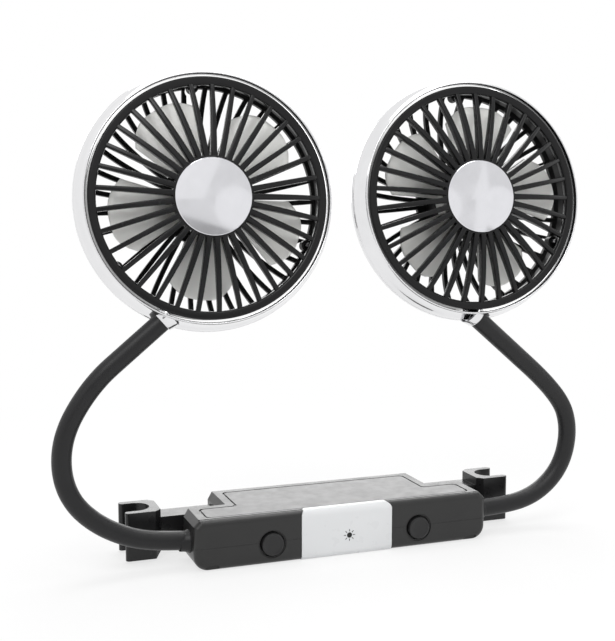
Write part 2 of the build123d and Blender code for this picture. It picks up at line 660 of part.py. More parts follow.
def hub_cap():
    """The silver cap on the grille's hub: a low dome over a short upright edge."""
    foot = HUB_RISE - CAP_RECESS
    top = foot + CAP_EDGE + CAP_DOME
    dome_radius = (CAP_RADIUS**2 + CAP_DOME**2) / (2 * CAP_DOME)
    return rod(CAP_RADIUS, foot, top) & Pos(0, 0, top - dome_radius) * Sphere(dome_radius)


def rim_body(grow):
    """The solid that the rim's outside bounds, grown by grow: it widens a little towards the back."""
    height = RIM_DEPTH + RIM_PROUD
    return Pos(0, 0, RIM_PROUD - height / 2) * Cone(RIM_RADIUS + RIM_FLARE + grow, RIM_RADIUS + grow, height)


def rim_ring():
    """The chrome band round a head, with a rounded front lip and a seam near its back edge."""
    band = rim_body(0) - rim_body(-RIM_WALL)
    band += ring(RIM_RADIUS - RIM_WALL / 2, RIM_RADIUS - RIM_LIP, RIM_PROUD - 1.6, RIM_PROUD)
    edges = band.edges().filter_by(GeomType.CIRCLE).group_by(Axis.Z)
    band = fillet(edges[-1].sort_by(SortBy.RADIUS)[-1], 0.7)
    seam = -RIM_DEPTH + RIM_SEAM_HEIGHT
    groove = rod(RIM_RADIUS + 2 * RIM_FLARE, seam, seam + RIM_SEAM_WIDTH) - rim_body(-RIM_SEAM_DEPTH)
    return band - groove


def neck_socket(side):
    """The chrome nub that joins a neck to the underside of the rim."""
    points = neck_axis_line(side)
    inward = (points[-1] - points[-2]).normalized()
    tip = points[-1] - inward * SOCKET_LENGTH
    reach = SOCKET_LENGTH + 12
    taper = Pos(0, 0, reach / 2) * Cone(SOCKET_TIP_RADIUS, SOCKET_TIP_RADIUS + reach * SOCKET_TAPER, reach)
    nub = Plane(origin=tip, z_dir=inward).location * taper
    hole = Plane(origin=tip, z_dir=inward).location * Pos(0, 0, 8) * Cylinder(SLEEVE_RADIUS + FIT, 40)
    head = head_plane(side).location
    room = head * (rod(RIM_RADIUS + SOCKET_LENGTH + 4, -RIM_DEPTH, RIM_PROUD - 2) - rim_body(0))
    return nub & room - hole


def rear_guard():
    """The rear guard: a band behind the grille's skirt, ribs curving in to a hub, and the motor's cup."""
    band_back = GUARD_TOP - GUARD_BAND
    hub_front = -GUARD_DEPTH + GUARD_THICKNESS
    bowl = dome(GUARD_HUB_RADIUS - 1, hub_front, GRILLE_RADIUS, band_back, -GUARD_BULGE,
                GUARD_THICKNESS, GUARD_THICKNESS)
    bowl -= rib_gaps(GUARD_RIBS, GUARD_HUB_RADIUS, GRILLE_RADIUS - 2.6, GUARD_RIB_WIDTH, GUARD_RIB_WIDTH)
    guard = bowl + ring(GRILLE_RADIUS, GRILLE_RADIUS - SKIRT_WALL, band_back - 0.5, GUARD_TOP)
    guard += rod(GUARD_HUB_RADIUS, -GUARD_DEPTH, hub_front)
    guard += ring(MOTOR_RADIUS + FIT + MOTOR_CUP_WALL, MOTOR_RADIUS + FIT, hub_front - 0.5, MOTOR_FRONT - 3)
    for angle in screw_angles():
        ear = Pos(GUARD_SCREW_CIRCLE, 0, 0) * rod(GUARD_BOSS_RADIUS, band_back, GUARD_TOP)
        hole = Pos(GUARD_SCREW_CIRCLE, 0, 0) * rod(GUARD_SCREW_RADIUS + SLIDE, band_back - 1, GUARD_TOP + 1)
        sink = Pos(GUARD_SCREW_CIRCLE, 0, 0) * rod(GUARD_SCREW_HEAD + SLIDE, -GUARD_DEPTH, band_back)
        guard += Rot(0, 0, angle) * ear
        guard -= Rot(0, 0, angle) * (hole + sink)
    return guard


def guard_screws():
    """The screws that hold a rear guard to its grille."""
    one = screw(GUARD_SCREW_LENGTH, GUARD_SCREW_RADIUS, GUARD_SCREW_HEAD, GUARD_SCREW_HEAD_HEIGHT)
    seat = GUARD_TOP - GUARD_BAND - GUARD_SCREW_HEAD_HEIGHT - FIT
    return Compound([Rot(0, 0, a) * Pos(GUARD_SCREW_CIRCLE, 0, seat) * one for a in screw_angles()])


def motor():
    """A small direct-current motor with its front boss and two terminals."""
    can = fillet(rod(MOTOR_RADIUS, MOTOR_BACK, MOTOR_FRONT).edges().filter_by(GeomType.CIRCLE), 1.0)
    can += rod(3.2, MOTOR_FRONT - 0.5, MOTOR_FRONT + 1.2)
    return can - rod(SHAFT_RADIUS + SHAFT_FIT, MOTOR_BACK + 2, MOTOR_FRONT + 2)


def motor_shaft():
    """The motor's shaft, which carries the impeller."""
    return rod(SHAFT_RADIUS, MOTOR_BACK + 2 + SLIDE, IMPELLER_FRONT - 3)


def blade():
    """One cambered, pitched blade, broad at its rounded tip."""
    root, tip = IMPELLER_HUB_RADIUS - 1, IMPELLER_RADIUS
    half, root_half = BLADE_SHEET_WIDTH / 2, BLADE_ROOT_WIDTH / 2
    lead, trail = (tip - BLADE_LEAD_DROP, BLADE_LEAD), (tip - BLADE_TRAIL_DROP, -BLADE_TRAIL)
    lead_waist = (root + BLADE_LEAD_WAIST[0], BLADE_LEAD_WAIST[1])
    trail_waist = (root + BLADE_TRAIL_WAIST[0], -BLADE_TRAIL_WAIST[1])
    upper = ThreePointArc((-half, 0), (0, BLADE_CAMBER), (half, 0))
    under = -BLADE_THICKNESS
    lower = ThreePointArc((half, under), (0, BLADE_CAMBER + under), (-half, under))
    ends = [Line((half, 0), (half, under)), Line((-half, under), (-half, 0))]
    sheet = extrude(Plane.YZ * make_face([upper, ends[0], lower, ends[1]]), tip + 2)
    sheet = Rot(BLADE_PITCH, 0, 0) * sheet
    outline = make_face([
        Line((root, -root_half), (root, root_half)),
        ThreePointArc((root, root_half), lead_waist, lead),
        ThreePointArc(lead, (tip, -1), trail),
        ThreePointArc(trail, trail_waist, (root, -root_half)),
    ])
    return sheet & extrude(outline, 40, both=True)


def impeller(angle):
    """The blades on a cup-shaped hub that is pressed on the shaft, the first blade at an angle."""
    middle = (IMPELLER_FRONT + IMPELLER_BACK) / 2
    hub = rod(IMPELLER_HUB_RADIUS, IMPELLER_BACK, IMPELLER_FRONT)
    hub = fillet(hub.edges().filter_by(GeomType.CIRCLE).group_by(Axis.Z)[-1], 2.0)
    hub -= rod(IMPELLER_HUB_RADIUS - 1.5, IMPELLER_BACK - 1, IMPELLER_FRONT - 1.8)
    hub += rod(3.0, IMPELLER_BACK + 1, IMPELLER_FRONT - 1)
    room = rod(IMPELLER_RADIUS, IMPELLER_BACK + 0.5, IMPELLER_FRONT - 0.5)
    keep = room - rod(IMPELLER_HUB_RADIUS - 1, IMPELLER_BACK - 1, 0)
    for i in range(BLADE_COUNT):
        hub += (Rot(0, 0, angle + 360 / BLADE_COUNT * i) * Pos(0, 0, middle) * blade()) & keep
    return hub - rod(SHAFT_RADIUS, IMPELLER_BACK, IMPELLER_FRONT - 3)


def head_pieces():
    """The pieces that both heads share, in the head's own frame."""
    return {
        "front_grille": front_grille(),
        "hub_cap": hub_cap(),
        "rim_ring": rim_ring(),
        "rear_guard": rear_guard(),
        "guard_screws": guard_screws(),
        "motor": motor(),
        "motor_shaft": motor_shaft(),
    }


def all_pieces():
    """Every piece by its name, in place."""
    shell = housing_shell()
    pieces = {
        "lower_housing": lower_housing(shell),
        "top_cover": top_cover(shell),
        "light_lens": light_lens(),
        "light_board": light_board(),
        "control_board": control_board(),
        "housing_screws": housing_screws(),
        "power_inlet": power_inlet(),
    }
    for name, place in zip(("left", "right"), button_places()):
        pieces[name + "_button"] = place * button()
        pieces[name + "_switch"] = place * tact_switch()
    paired = {"arm": hook_arm, "arm_spring": arm_spring, "ferrule": ferrule, "neck_nut": neck_nut}
    for name, make in paired.items():
        pieces["right_" + name] = make()
        pieces["left_" + name] = mirrored(make())
    shared = head_pieces()
    for name, side in (("left", -1), ("right", 1)):
        sleeve_start = END - WALL - SLIDE - FERRULE_FLANGE
        sleeve = ("sleeve", SLEEVE_RADIUS, SLEEVE_BORE, sleeve_start)
        core = ("core", CORE_RADIUS, CORE_BORE, END - NECK_TAIL)
        for part, radius, bore, start in (sleeve, core):
            lengths = neck_lengths(side, radius, bore, start)
            for place, length in zip(("foot", "lower", "upper", "head"), lengths):
                pieces[f"{name}_{part}_{place}"] = length
        for part, solid in shared.items():
            pieces[f"{name}_{part}"] = head_plane(side).location * solid
        blade_angle = LEFT_BLADE_ANGLE if side < 0 else RIGHT_BLADE_ANGLE
        pieces[name + "_impeller"] = head_plane(side).location * impeller(blade_angle)
        pieces[name + "_neck_socket"] = neck_socket(side)
    return pieces


def main():
    """Writes one file per piece and prints the figures that the record needs."""
    os.makedirs("parts", exist_ok=True)
    for name, solid in all_pieces().items():
        export_step(solid, f"parts/{name}.step")
    for name, side in (("left", -1), ("right", 1)):
        path, radii = neck_path(neck_axis_line(side))
        print(name, "neck length", round(path.length, 1), "bend radii", [round(r, 1) for r in radii])
        for label, (place, way) in zip(("swing", "lean", "turn"), neck_joints(side)):
            print(" ", label, [round(c, 3) for c in place], [round(c, 4) for c in way])
        plane = head_plane(side)
        print("  head", [round(c, 3) for c in plane.origin], "axis", [round(c, 5) for c in plane.z_dir])


if __name__ == "__main__":
    main()
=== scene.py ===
"""Dresses a dual-head car fan: two caged fans on bendable necks over a body between headrest posts.

Metres throughout. +Z is up, -Y is the front, and the origin is midway between the two posts that the
hooks hold. Every piece is built at its place, so that its object sits at the origin.
"""

import json
import logging
from dataclasses import dataclass
from enum import Enum
from math import cos, pi, radians, sin

import bpy
from mathutils import Matrix, Vector

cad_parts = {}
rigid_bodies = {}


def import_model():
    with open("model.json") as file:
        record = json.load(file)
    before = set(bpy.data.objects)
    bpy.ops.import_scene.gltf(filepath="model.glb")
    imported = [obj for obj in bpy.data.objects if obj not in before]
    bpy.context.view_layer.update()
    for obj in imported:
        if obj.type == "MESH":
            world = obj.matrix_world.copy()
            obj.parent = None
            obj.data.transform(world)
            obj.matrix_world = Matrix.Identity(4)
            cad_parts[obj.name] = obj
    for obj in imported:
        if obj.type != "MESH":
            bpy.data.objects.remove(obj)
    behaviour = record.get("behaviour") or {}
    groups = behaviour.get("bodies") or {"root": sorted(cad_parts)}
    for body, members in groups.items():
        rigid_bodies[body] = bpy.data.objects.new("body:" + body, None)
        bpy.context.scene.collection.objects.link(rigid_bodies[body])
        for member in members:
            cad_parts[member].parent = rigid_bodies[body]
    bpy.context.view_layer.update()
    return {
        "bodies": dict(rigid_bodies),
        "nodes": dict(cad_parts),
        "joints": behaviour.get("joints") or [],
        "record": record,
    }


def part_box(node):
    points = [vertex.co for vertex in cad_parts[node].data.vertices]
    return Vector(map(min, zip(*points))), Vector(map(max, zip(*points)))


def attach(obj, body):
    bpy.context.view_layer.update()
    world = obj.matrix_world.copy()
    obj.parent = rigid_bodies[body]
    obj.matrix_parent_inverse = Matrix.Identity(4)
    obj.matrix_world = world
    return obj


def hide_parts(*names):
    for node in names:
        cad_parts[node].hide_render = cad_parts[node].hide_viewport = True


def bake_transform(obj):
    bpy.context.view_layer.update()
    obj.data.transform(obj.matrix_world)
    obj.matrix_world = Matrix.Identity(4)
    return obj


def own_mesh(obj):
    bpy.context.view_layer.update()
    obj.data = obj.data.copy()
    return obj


LOG = logging.getLogger("fan")
MM = 0.001
# Points closer than this are one point.
MERGE_REACH = 1e-6
# Edges flatter than the first angle aren't rounded, and those flatter than the second are shaded smooth.
BEVEL_ANGLE = radians(32)
SMOOTH_ANGLE = radians(38)
WHITE = (1.0, 1.0, 1.0, 1.0)
# The range that most values of a noise pattern lie in.
NOISE_RANGE = (0.3, 0.7)

Piece = bpy.types.Object
Looks = dict[str, bpy.types.Material]
Nodes = dict[str, bpy.types.Object]
# A point with a direction, or the lowest and highest corner of a box.
Pair = tuple[Vector, Vector]
Tree = bpy.types.ShaderNodeTree
Socket = bpy.types.NodeSocket
Tone = tuple[float, float, float]


class Side(Enum):
    """The two ends of the fan, by name and by the sign of x."""

    LEFT = ("left", -1)
    RIGHT = ("right", 1)

    @property
    def label(self) -> str:
        """The word that starts the names of this side's pieces."""
        return self.value[0]

    @property
    def sign(self) -> int:
        """-1 on the left and +1 on the right."""
        return self.value[1]


# Finishes


def new_material(name: str) -> tuple[bpy.types.Material, Tree, bpy.types.Node]:
    """Makes a node material with one Principled shader.

    Args:
        name: The material's name.

    Returns:
        The material, its node tree and its Principled node.
    """
    material = bpy.data.materials.new(name)
    material.use_nodes = True
    tree = material.node_tree
    return material, tree, tree.nodes["Principled BSDF"]


def feed(tree: Tree, node: bpy.types.Node, feeds: dict[str | int, object]) -> None:
    """Links or sets a node's inputs.

    Args:
        tree: The node's tree.
        node: The node.
        feeds: For each input, an output to link or a value to set.
    """
    for key, value in feeds.items():
        if isinstance(value, Socket):
            tree.links.new(value, node.inputs[key])
        else:
            node.inputs[key].default_value = value


def add_node(tree: Tree, kind: str, feeds: dict[str | int, object], **settings: object) -> bpy.types.Node:
    """Adds a shader node.

    Args:
        tree: The node tree that takes it.
        kind: Its type, after the word ShaderNode.
        feeds: For each input, an output to link or a value to set.
        settings: The node's own properties.

    Returns:
        The node.
    """
    node = tree.nodes.new(f"ShaderNode{kind}")
    for name, value in settings.items():
        setattr(node, name, value)
    feed(tree, node, feeds)
    return node


def own_place(tree: Tree) -> Socket:
    """The Object coordinates, which every pattern reads."""
    return add_node(tree, "TexCoord", {}).outputs["Object"]


def noise(tree: Tree, size: float, detail: float) -> Socket:
    """Adds a noise pattern on Object coordinates.

    Args:
        tree: The node tree that takes it.
        size: The width of its grains, in metres.
        detail: How many finer layers it has.

    Returns:
        The pattern's value.
    """
    feeds = {"Vector": own_place(tree), "Scale": 1.0 / size, "Detail": detail}
    return add_node(tree, "TexNoise", feeds).outputs["Fac"]


def between(tree: Tree, source: Socket, low: float, high: float) -> Socket:
    """Maps a noise value to a range.

    Args:
        tree: The node tree that takes the node.
        source: The value to map.
        low: The result where the noise is low.
        high: The result where it is high.

    Returns:
        The mapped value.
    """
    least, most = NOISE_RANGE
    feeds = {"Value": source, "From Min": least, "From Max": most, "To Min": low, "To Max": high}
    return add_node(tree, "MapRange", feeds).outputs["Result"]


def tint(tree: Tree, source: Socket, dark: Tone, light: Tone) -> Socket:
    """Maps a noise value to a colour between two tones.

    Args:
        tree: The node tree that takes the ramp.
        source: The value that chooses the tone.
        dark: The tone where the value is low.
        light: The tone where it is high.

    Returns:
        The ramp's colour output.
    """
    ramp = add_node(tree, "ValToRGB", {"Fac": source})
    for i, tone in enumerate((dark, light)):
        ramp.color_ramp.elements[i].position = NOISE_RANGE[i]
        ramp.color_ramp.elements[i].color = (*tone, 1.0)
    return ramp.outputs["Color"]


def shaded(tone: Tone, share: float) -> Tone:
    """A darker tone for a share under 1 and a lighter one for a share over 1."""
    return tuple(channel * share for channel in tone)


def relief(tree: Tree, shader: bpy.types.Node, height: Socket, depth: float, edge: float = 0.0) -> None:
    """Gives a shader a bumped surface, and softened edges where a piece needs them.

    Args:
        tree: The node tree that takes the nodes.
        shader: The Principled node.
        height: The pattern that stands for the surface's height.
        depth: How deep the pattern is, in metres.
        edge: The radius of the softened edges, in metres.
    """
    bump = add_node(tree, "Bump", {"Height": height, "Distance": depth})
    if edge > 0.0:
        bevel = add_node(tree, "Bevel", {"Radius": edge}, samples=4)
        feed(tree, bump, {"Normal": bevel.outputs["Normal"]})
    feed(tree, shader, {"Normal": bump.outputs["Normal"]})


def seam_line(tree: Tree, tone: Socket, height: float, width: float) -> Socket:
    """Darkens a tone along the level line where two moulded halves meet.

    Args:
        tree: The node tree that takes the nodes.
        tone: The colour without the line.
        height: The line's z, in metres.
        width: How wide it is, in metres.

    Returns:
        The colour with the line.
    """
    parts = add_node(tree, "SeparateXYZ", {"Vector": own_place(tree)})
    near = add_node(tree, "Math", {0: parts.outputs["Z"], 1: height, 2: width / 2}, operation="COMPARE")
    lined = add_node(tree, "Mix", {}, data_type="RGBA")
    feed(tree, lined, {"Factor": near.outputs[0], "A": tone, "B": (0.001, 0.001, 0.001, 1.0)})
    return lined.outputs["Result"]


def vary(tree: Tree, shader: bpy.types.Node, pattern: Socket, tones: tuple[Tone, Tone],
         roughness: tuple[float, float]) -> None:
    """Lets one pattern vary a shader's tone and its gloss together.

    Args:
        tree: The node tree that takes the nodes.
        shader: The Principled node.
        pattern: The pattern.
        tones: The tones where it is low and high.
        roughness: The roughness where it is low and high.
    """
    feed(tree, shader, {"Base Color": tint(tree, pattern, *tones),
                        "Roughness": between(tree, pattern, *roughness)})


def seen_directly(tree: Tree) -> Socket:
    """Tells the rays that show a surface from those that only carry its light.

    Args:
        tree: The node tree that takes the nodes.

    Returns:
        1 for a camera, mirrored or transmitted ray and 0 for any other.
    """
    rays = add_node(tree, "LightPath", {}).outputs
    feeds = {0: rays["Is Camera Ray"], 1: rays["Is Glossy Ray"]}
    mirrored = add_node(tree, "Math", feeds, operation="MAXIMUM")
    feeds = {0: mirrored.outputs[0], 1: rays["Is Transmission Ray"]}
    return add_node(tree, "Math", feeds, operation="MAXIMUM").outputs[0]


@dataclass(frozen=True)
class Moulded:
    """Moulded plastic or rubber: an even tone, a fine grain and slightly uneven gloss."""

    name: str
    tone: Tone
    roughness: float
    grain: float = 0.35 * MM
    depth: float = 0.01 * MM
    edge: float = 0.0
    specular: float = 0.35
    coat: float = 0.0
    coat_roughness: float = 0.12
    uneven: float = 0.1
    cloud: float = 14 * MM
    patch: float = 5 * MM
    seam: float | None = None
    seam_width: float = 0.3 * MM

    def make(self) -> bpy.types.Material:
        """Makes the material.

        Returns:
            The material.
        """
        material, tree, shader = new_material(self.name)
        dark, light = shaded(self.tone, 1 - self.uneven), shaded(self.tone, 1 + self.uneven)
        tone = tint(tree, noise(tree, self.cloud, 3.0), dark, light)
        if self.seam is not None:
            tone = seam_line(tree, tone, self.seam, self.seam_width)
        rough = between(tree, noise(tree, self.patch, 2.0), self.roughness * 0.88, self.roughness * 1.1)
        relief(tree, shader, noise(tree, self.grain, 1.0), self.depth, self.edge)
        feed(tree, shader, {"Base Color": tone, "Roughness": rough, "Specular IOR Level": self.specular,
                            "Coat Weight": self.coat, "Coat Roughness": self.coat_roughness})
        return material


@dataclass(frozen=True)
class Plated:
    """Bright plating: a mirror finish with the faint waves and smears of a plated moulding."""

    name: str
    tone: Tone
    roughness: float
    smear: float = 7 * MM
    wave: float = 9 * MM
    depth: float = 0.006 * MM
    edge: float = 0.0

    def make(self) -> bpy.types.Material:
        """Makes the material.

        Returns:
            The material.
        """
        material, tree, shader = new_material(self.name)
        tones = (shaded(self.tone, 0.96), self.tone)
        roughness = (self.roughness * 0.7, self.roughness * 1.5)
        vary(tree, shader, noise(tree, self.smear, 4.0), tones, roughness)
        relief(tree, shader, noise(tree, self.wave, 1.0), self.depth, self.edge)
        feed(tree, shader, {"Metallic": 1.0})
        return material


@dataclass(frozen=True)
class Turned:
    """Bare steel with fine tool marks along one direction."""

    name: str
    tone: Tone
    roughness: float
    stretch: tuple[float, float, float] = (1.0, 1.0, 18.0)
    fineness: float = 220.0
    depth: float = 0.01 * MM

    def make(self) -> bpy.types.Material:
        """Makes the material.

        Returns:
            The material.
        """
        material, tree, shader = new_material(self.name)
        drawn = add_node(tree, "Mapping", {"Vector": own_place(tree), "Scale": self.stretch})
        feeds = {"Vector": drawn.outputs["Vector"], "Scale": self.fineness, "Detail": 3.0}
        marks = add_node(tree, "TexNoise", feeds).outputs["Fac"]
        tones = (shaded(self.tone, 0.8), self.tone)
        vary(tree, shader, marks, tones, (self.roughness * 0.8, self.roughness * 1.25))
        relief(tree, shader, marks, self.depth)
        feed(tree, shader, {"Metallic": 1.0})
        return material


@dataclass(frozen=True)
class Milky:
    """Translucent grey plastic: light passes through it softly."""

    name: str
    tone: Tone
    roughness: float
    clear: float
    flow: float = 22 * MM
    grain: float = 0.6 * MM
    depth: float = 0.006 * MM

    def make(self) -> bpy.types.Material:
        """Makes the material.

        Returns:
            The material.
        """
        material, tree, shader = new_material(self.name)
        tones = (shaded(self.tone, 0.93), shaded(self.tone, 1.05))
        roughness = (self.roughness * 0.85, self.roughness * 1.15)
        vary(tree, shader, noise(tree, self.flow, 3.0), tones, roughness)
        relief(tree, shader, noise(tree, self.grain, 1.0), self.depth)
        feed(tree, shader, {"Transmission Weight": self.clear, "IOR": 1.45})
        return material


@dataclass(frozen=True)
class Lacquered:
    """A circuit board's lacquer, with faint tracks under it."""

    name: str
    tone: Tone
    track: Tone
    fineness: float = 240.0
    depth: float = 0.02 * MM

    def make(self) -> bpy.types.Material:
        """Makes the material.

        Returns:
            The material.
        """
        material, tree, shader = new_material(self.name)
        feeds = {"Vector": own_place(tree), "Scale": self.fineness, "Distortion": 6.0}
        tracks = add_node(tree, "TexWave", feeds).outputs["Fac"]
        feed(tree, shader, {"Base Color": tint(tree, tracks, self.tone, self.track), "Roughness": 0.3})
        relief(tree, shader, tracks, self.depth)
        return material


@dataclass(frozen=True)
class Finishes:
    """Every finish of the fan, each made once and kept by the name that the pieces ask for."""

    housing: Moulded = Moulded("satin black housing", (0.016, 0.016, 0.0158), 0.34, edge=0.35 * MM,
                               specular=0.45, seam=-1.2 * MM, uneven=0.06)
    hook: Moulded = Moulded("satin black hook", (0.012, 0.012, 0.0125), 0.3, edge=0.5 * MM, specular=0.4)
    button: Moulded = Moulded("black button", (0.013, 0.013, 0.0135), 0.32, edge=0.3 * MM, specular=0.4)
    grille: Moulded = Moulded("black grille", (0.0085, 0.0085, 0.009), 0.25, edge=0.25 * MM, specular=0.24)
    guard: Moulded = Moulded("black guard", (0.005, 0.005, 0.0055), 0.4, edge=0.25 * MM, specular=0.25)
    rubber: Moulded = Moulded("neck rubber", (0.009, 0.009, 0.0098), 0.42, grain=0.5 * MM, depth=0.02 * MM)
    panel: Moulded = Moulded("white panel", (0.79, 0.80, 0.81), 0.3, depth=0.0, coat=0.2, uneven=0.004)
    mark: Moulded = Moulded("black print", (0.012, 0.012, 0.012), 0.5)
    inside: Moulded = Moulded("black inner plastic", (0.03, 0.03, 0.03), 0.5)
    board: Lacquered = Lacquered("board lacquer", (0.02, 0.12, 0.05), (0.04, 0.2, 0.08))
    chrome: Plated = Plated("bright chrome", (0.80, 0.80, 0.81), 0.06, edge=0.3 * MM)
    cap: Plated = Plated("silver cap", (0.77, 0.77, 0.80), 0.1, depth=0.001 * MM)
    blade: Milky = Milky("grey blade", (0.76, 0.76, 0.74), 0.45, 0.55)
    steel: Turned = Turned("turned steel", (0.55, 0.55, 0.56), 0.3)


# Modelling


def clear_selection() -> None:
    """Leaves edit mode, with nothing selected."""
    if bpy.context.mode != "OBJECT":
        bpy.ops.object.mode_set(mode="OBJECT")
    bpy.ops.object.select_all(action="DESELECT")


def pick(piece: Piece) -> None:
    """Makes a piece the only selected and active one.

    Args:
        piece: The object to pick.
    """
    clear_selection()
    piece.select_set(True)
    bpy.context.view_layer.objects.active = piece


def edit_all(piece: Piece) -> None:
    """Enters edit mode on a piece, with all of it selected.

    Args:
        piece: The object to edit.
    """
    pick(piece)
    bpy.ops.object.mode_set(mode="EDIT")
    bpy.ops.mesh.select_all(action="SELECT")


def own_copy(piece: Piece) -> Piece:
    """Copies a piece, with a mesh of its own.

    Args:
        piece: The object to copy.

    Returns:
        The copy.
    """
    copy = piece.copy()
    copy.data = piece.data.copy()
    bpy.context.scene.collection.objects.link(copy)
    return copy


def bake_place(piece: Piece, place: Matrix | None = None) -> Piece:
    """Moves a piece's place into its mesh, so that its object sits at the origin.

    Args:
        piece: The object.
        place: Where it goes from where it is, if it has further to go.

    Returns:
        The same object.
    """
    pick(piece)
    if place is not None:
        piece.matrix_world = place @ piece.matrix_world
    bpy.ops.object.transform_apply(location=True, rotation=True, scale=True)
    return piece


def close_up(piece: Piece) -> None:
    """Merges doubled points, fills open ends and turns all faces outwards.

    Args:
        piece: The object to close.
    """
    edit_all(piece)
    bpy.ops.mesh.remove_doubles(threshold=MERGE_REACH)
    bpy.ops.mesh.select_all(action="SELECT")
    bpy.ops.mesh.fill_holes(sides=0)
    bpy.ops.mesh.select_all(action="SELECT")
    bpy.ops.mesh.normals_make_consistent(inside=False)
    bpy.ops.object.mode_set(mode="OBJECT")


def soften(piece: Piece, width: float, segments: int = 2) -> None:
    """Rounds a piece's edges with an applied Bevel and shades it smooth between them.

    Args:
        piece: The object.
        width: The width of the rounding, in metres, or 0 for none.
        segments: The number of faces across it.
    """
    pick(piece)
    if width > 0.0:
        bevel = piece.modifiers.new("edges", "BEVEL")
        bevel.width = width
        bevel.segments = segments
        bevel.limit_method = "ANGLE"
        bevel.angle_limit = BEVEL_ANGLE
        bevel.use_clamp_overlap = True
        bpy.ops.object.modifier_apply(modifier="edges")
    bpy.ops.object.shade_smooth_by_angle(angle=SMOOTH_ANGLE)


def lathe(name: str, profile: list[tuple[float, float]], steps: int, rounding: float = 0.0,
          ring: bool = True) -> Piece:
    """Turns a profile round the Z axis: a circle is drawn out from point to point.

    Args:
        name: The piece's name.
        profile: Radius and height of each point, in order.
        steps: The number of faces round it.
        rounding: The width of its edges' rounding, in metres, or 0 for none.
        ring: Whether the profile closes on itself. Otherwise its two ends are filled.

    Returns:
        The new piece.
    """
    clear_selection()
    radius, height = profile[0]
    bpy.ops.mesh.primitive_circle_add(vertices=steps, radius=radius, fill_type="NOTHING",
                                      location=(0, 0, height))
    piece = bake_place(bpy.context.object)
    piece.name = name
    edit_all(piece)
    for next_radius, next_height in profile[1:] + (profile[:1] if ring else []):
        rise = (0, 0, next_height - height)
        bpy.ops.mesh.extrude_region_move(TRANSFORM_OT_translate={"value": rise})
        share = next_radius / radius
        bpy.ops.transform.resize(value=(share, share, 1), center_override=(0, 0, 0))
        radius, height = next_radius, next_height
    close_up(piece)
    soften(piece, rounding)
    return piece


def drawn_bar(name: str, stations: list[tuple[float, float, float, float, float]]) -> Piece:
    """Draws a rectangular section along X from station to station.

    Args:
        name: The piece's name.
        stations: For each one x, y and z of its middle, its width along Y and its height along Z.

    Returns:
        The new piece.
    """
    clear_selection()
    x, y, z, width, height = stations[0]
    bpy.ops.mesh.primitive_plane_add(size=1, location=(x, y, z), rotation=(0, pi / 2, 0))
    piece = bpy.context.object
    piece.name = name
    piece.scale = (height, width, 1)
    bake_place(piece)
    edit_all(piece)
    for nx, ny, nz, next_width, next_height in stations[1:]:
        bpy.ops.mesh.extrude_region_move(TRANSFORM_OT_translate={"value": (nx - x, ny - y, nz - z)})
        growth = (1, next_width / width, next_height / height)
        bpy.ops.transform.resize(value=growth, center_override=(nx, ny, nz))
        x, y, z, width, height = nx, ny, nz, next_width, next_height
    close_up(piece)
    return piece


def round_copies(piece: Piece, count: int, first: float = 0.0) -> Piece:
    """Copies a piece round the Z axis, each copy with its own mesh, and joins them.

    Args:
        piece: The piece that is repeated.
        count: How many there are in a full turn.
        first: The first one's angle, in radians.

    Returns:
        The joined piece.
    """
    copies = []
    for i in range(count):
        copy = own_copy(piece)
        copy.data.transform(Matrix.Rotation(first + 2 * pi * i / count, 4, "Z"))
        copies.append(copy)
    name = piece.name
    bpy.data.objects.remove(piece)
    return joined(copies, name)


def joined(parts: list[Piece], name: str) -> Piece:
    """Joins several objects into one piece.

    Args:
        parts: The objects.
        name: The name of the result.

    Returns:
        The joined piece.
    """
    pick(parts[0])
    for part in parts:
        part.select_set(True)
    bpy.ops.object.join()
    piece = bpy.context.object
    piece.name = name
    return piece


def dress(piece: Piece, material: bpy.types.Material) -> None:
    """Gives a piece its one material.

    Args:
        piece: The object, new or a CAD node.
        material: The material.
    """
    if not piece.data.materials:
        piece.data.materials.append(material)
    for holder in piece.material_slots:
        holder.material = material


def settle(piece: Piece, material: bpy.types.Material, body: str, slot: str, *nodes: str) -> None:
    """Dresses a finished piece and puts it on its body.

    Args:
        piece: The piece, in its place.
        material: Its material.
        body: The CAD body it rides on.
        slot: The record's material slot; not used.
        nodes: The CAD nodes that it stands for.
    """
    dress(piece, material)
    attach(piece, body)
    if nodes:
        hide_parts(*nodes)
    LOG.info("%s: %d faces", piece.name, len(piece.data.polygons))


def tube(name: str, points: list[Vector], radius: float, around: int) -> Piece:
    """Makes a round tube along a smooth curve with these control points.

    Args:
        name: The piece's name.
        points: The curve's control points.
        radius: The tube's radius.
        around: The number of faces round it, a multiple of four.

    Returns:
        The tube as a mesh.
    """
    clear_selection()
    bpy.ops.curve.primitive_nurbs_path_add()
    piece = bpy.context.object
    piece.name = name
    piece.data.splines.clear()
    spline = piece.data.splines.new("NURBS")
    spline.points.add(len(points) - 1)
    for control, point in zip(spline.points, points):
        control.co = (*point, 1.0)
    spline.order_u = 3
    spline.use_endpoint_u = True
    spline.resolution_u = piece.data.resolution_u = 20
    piece.data.bevel_depth = radius
    piece.data.bevel_resolution = around // 4 - 1
    piece.data.use_fill_caps = True
    bpy.ops.object.convert(target="MESH")
    return bake_place(bpy.context.object)


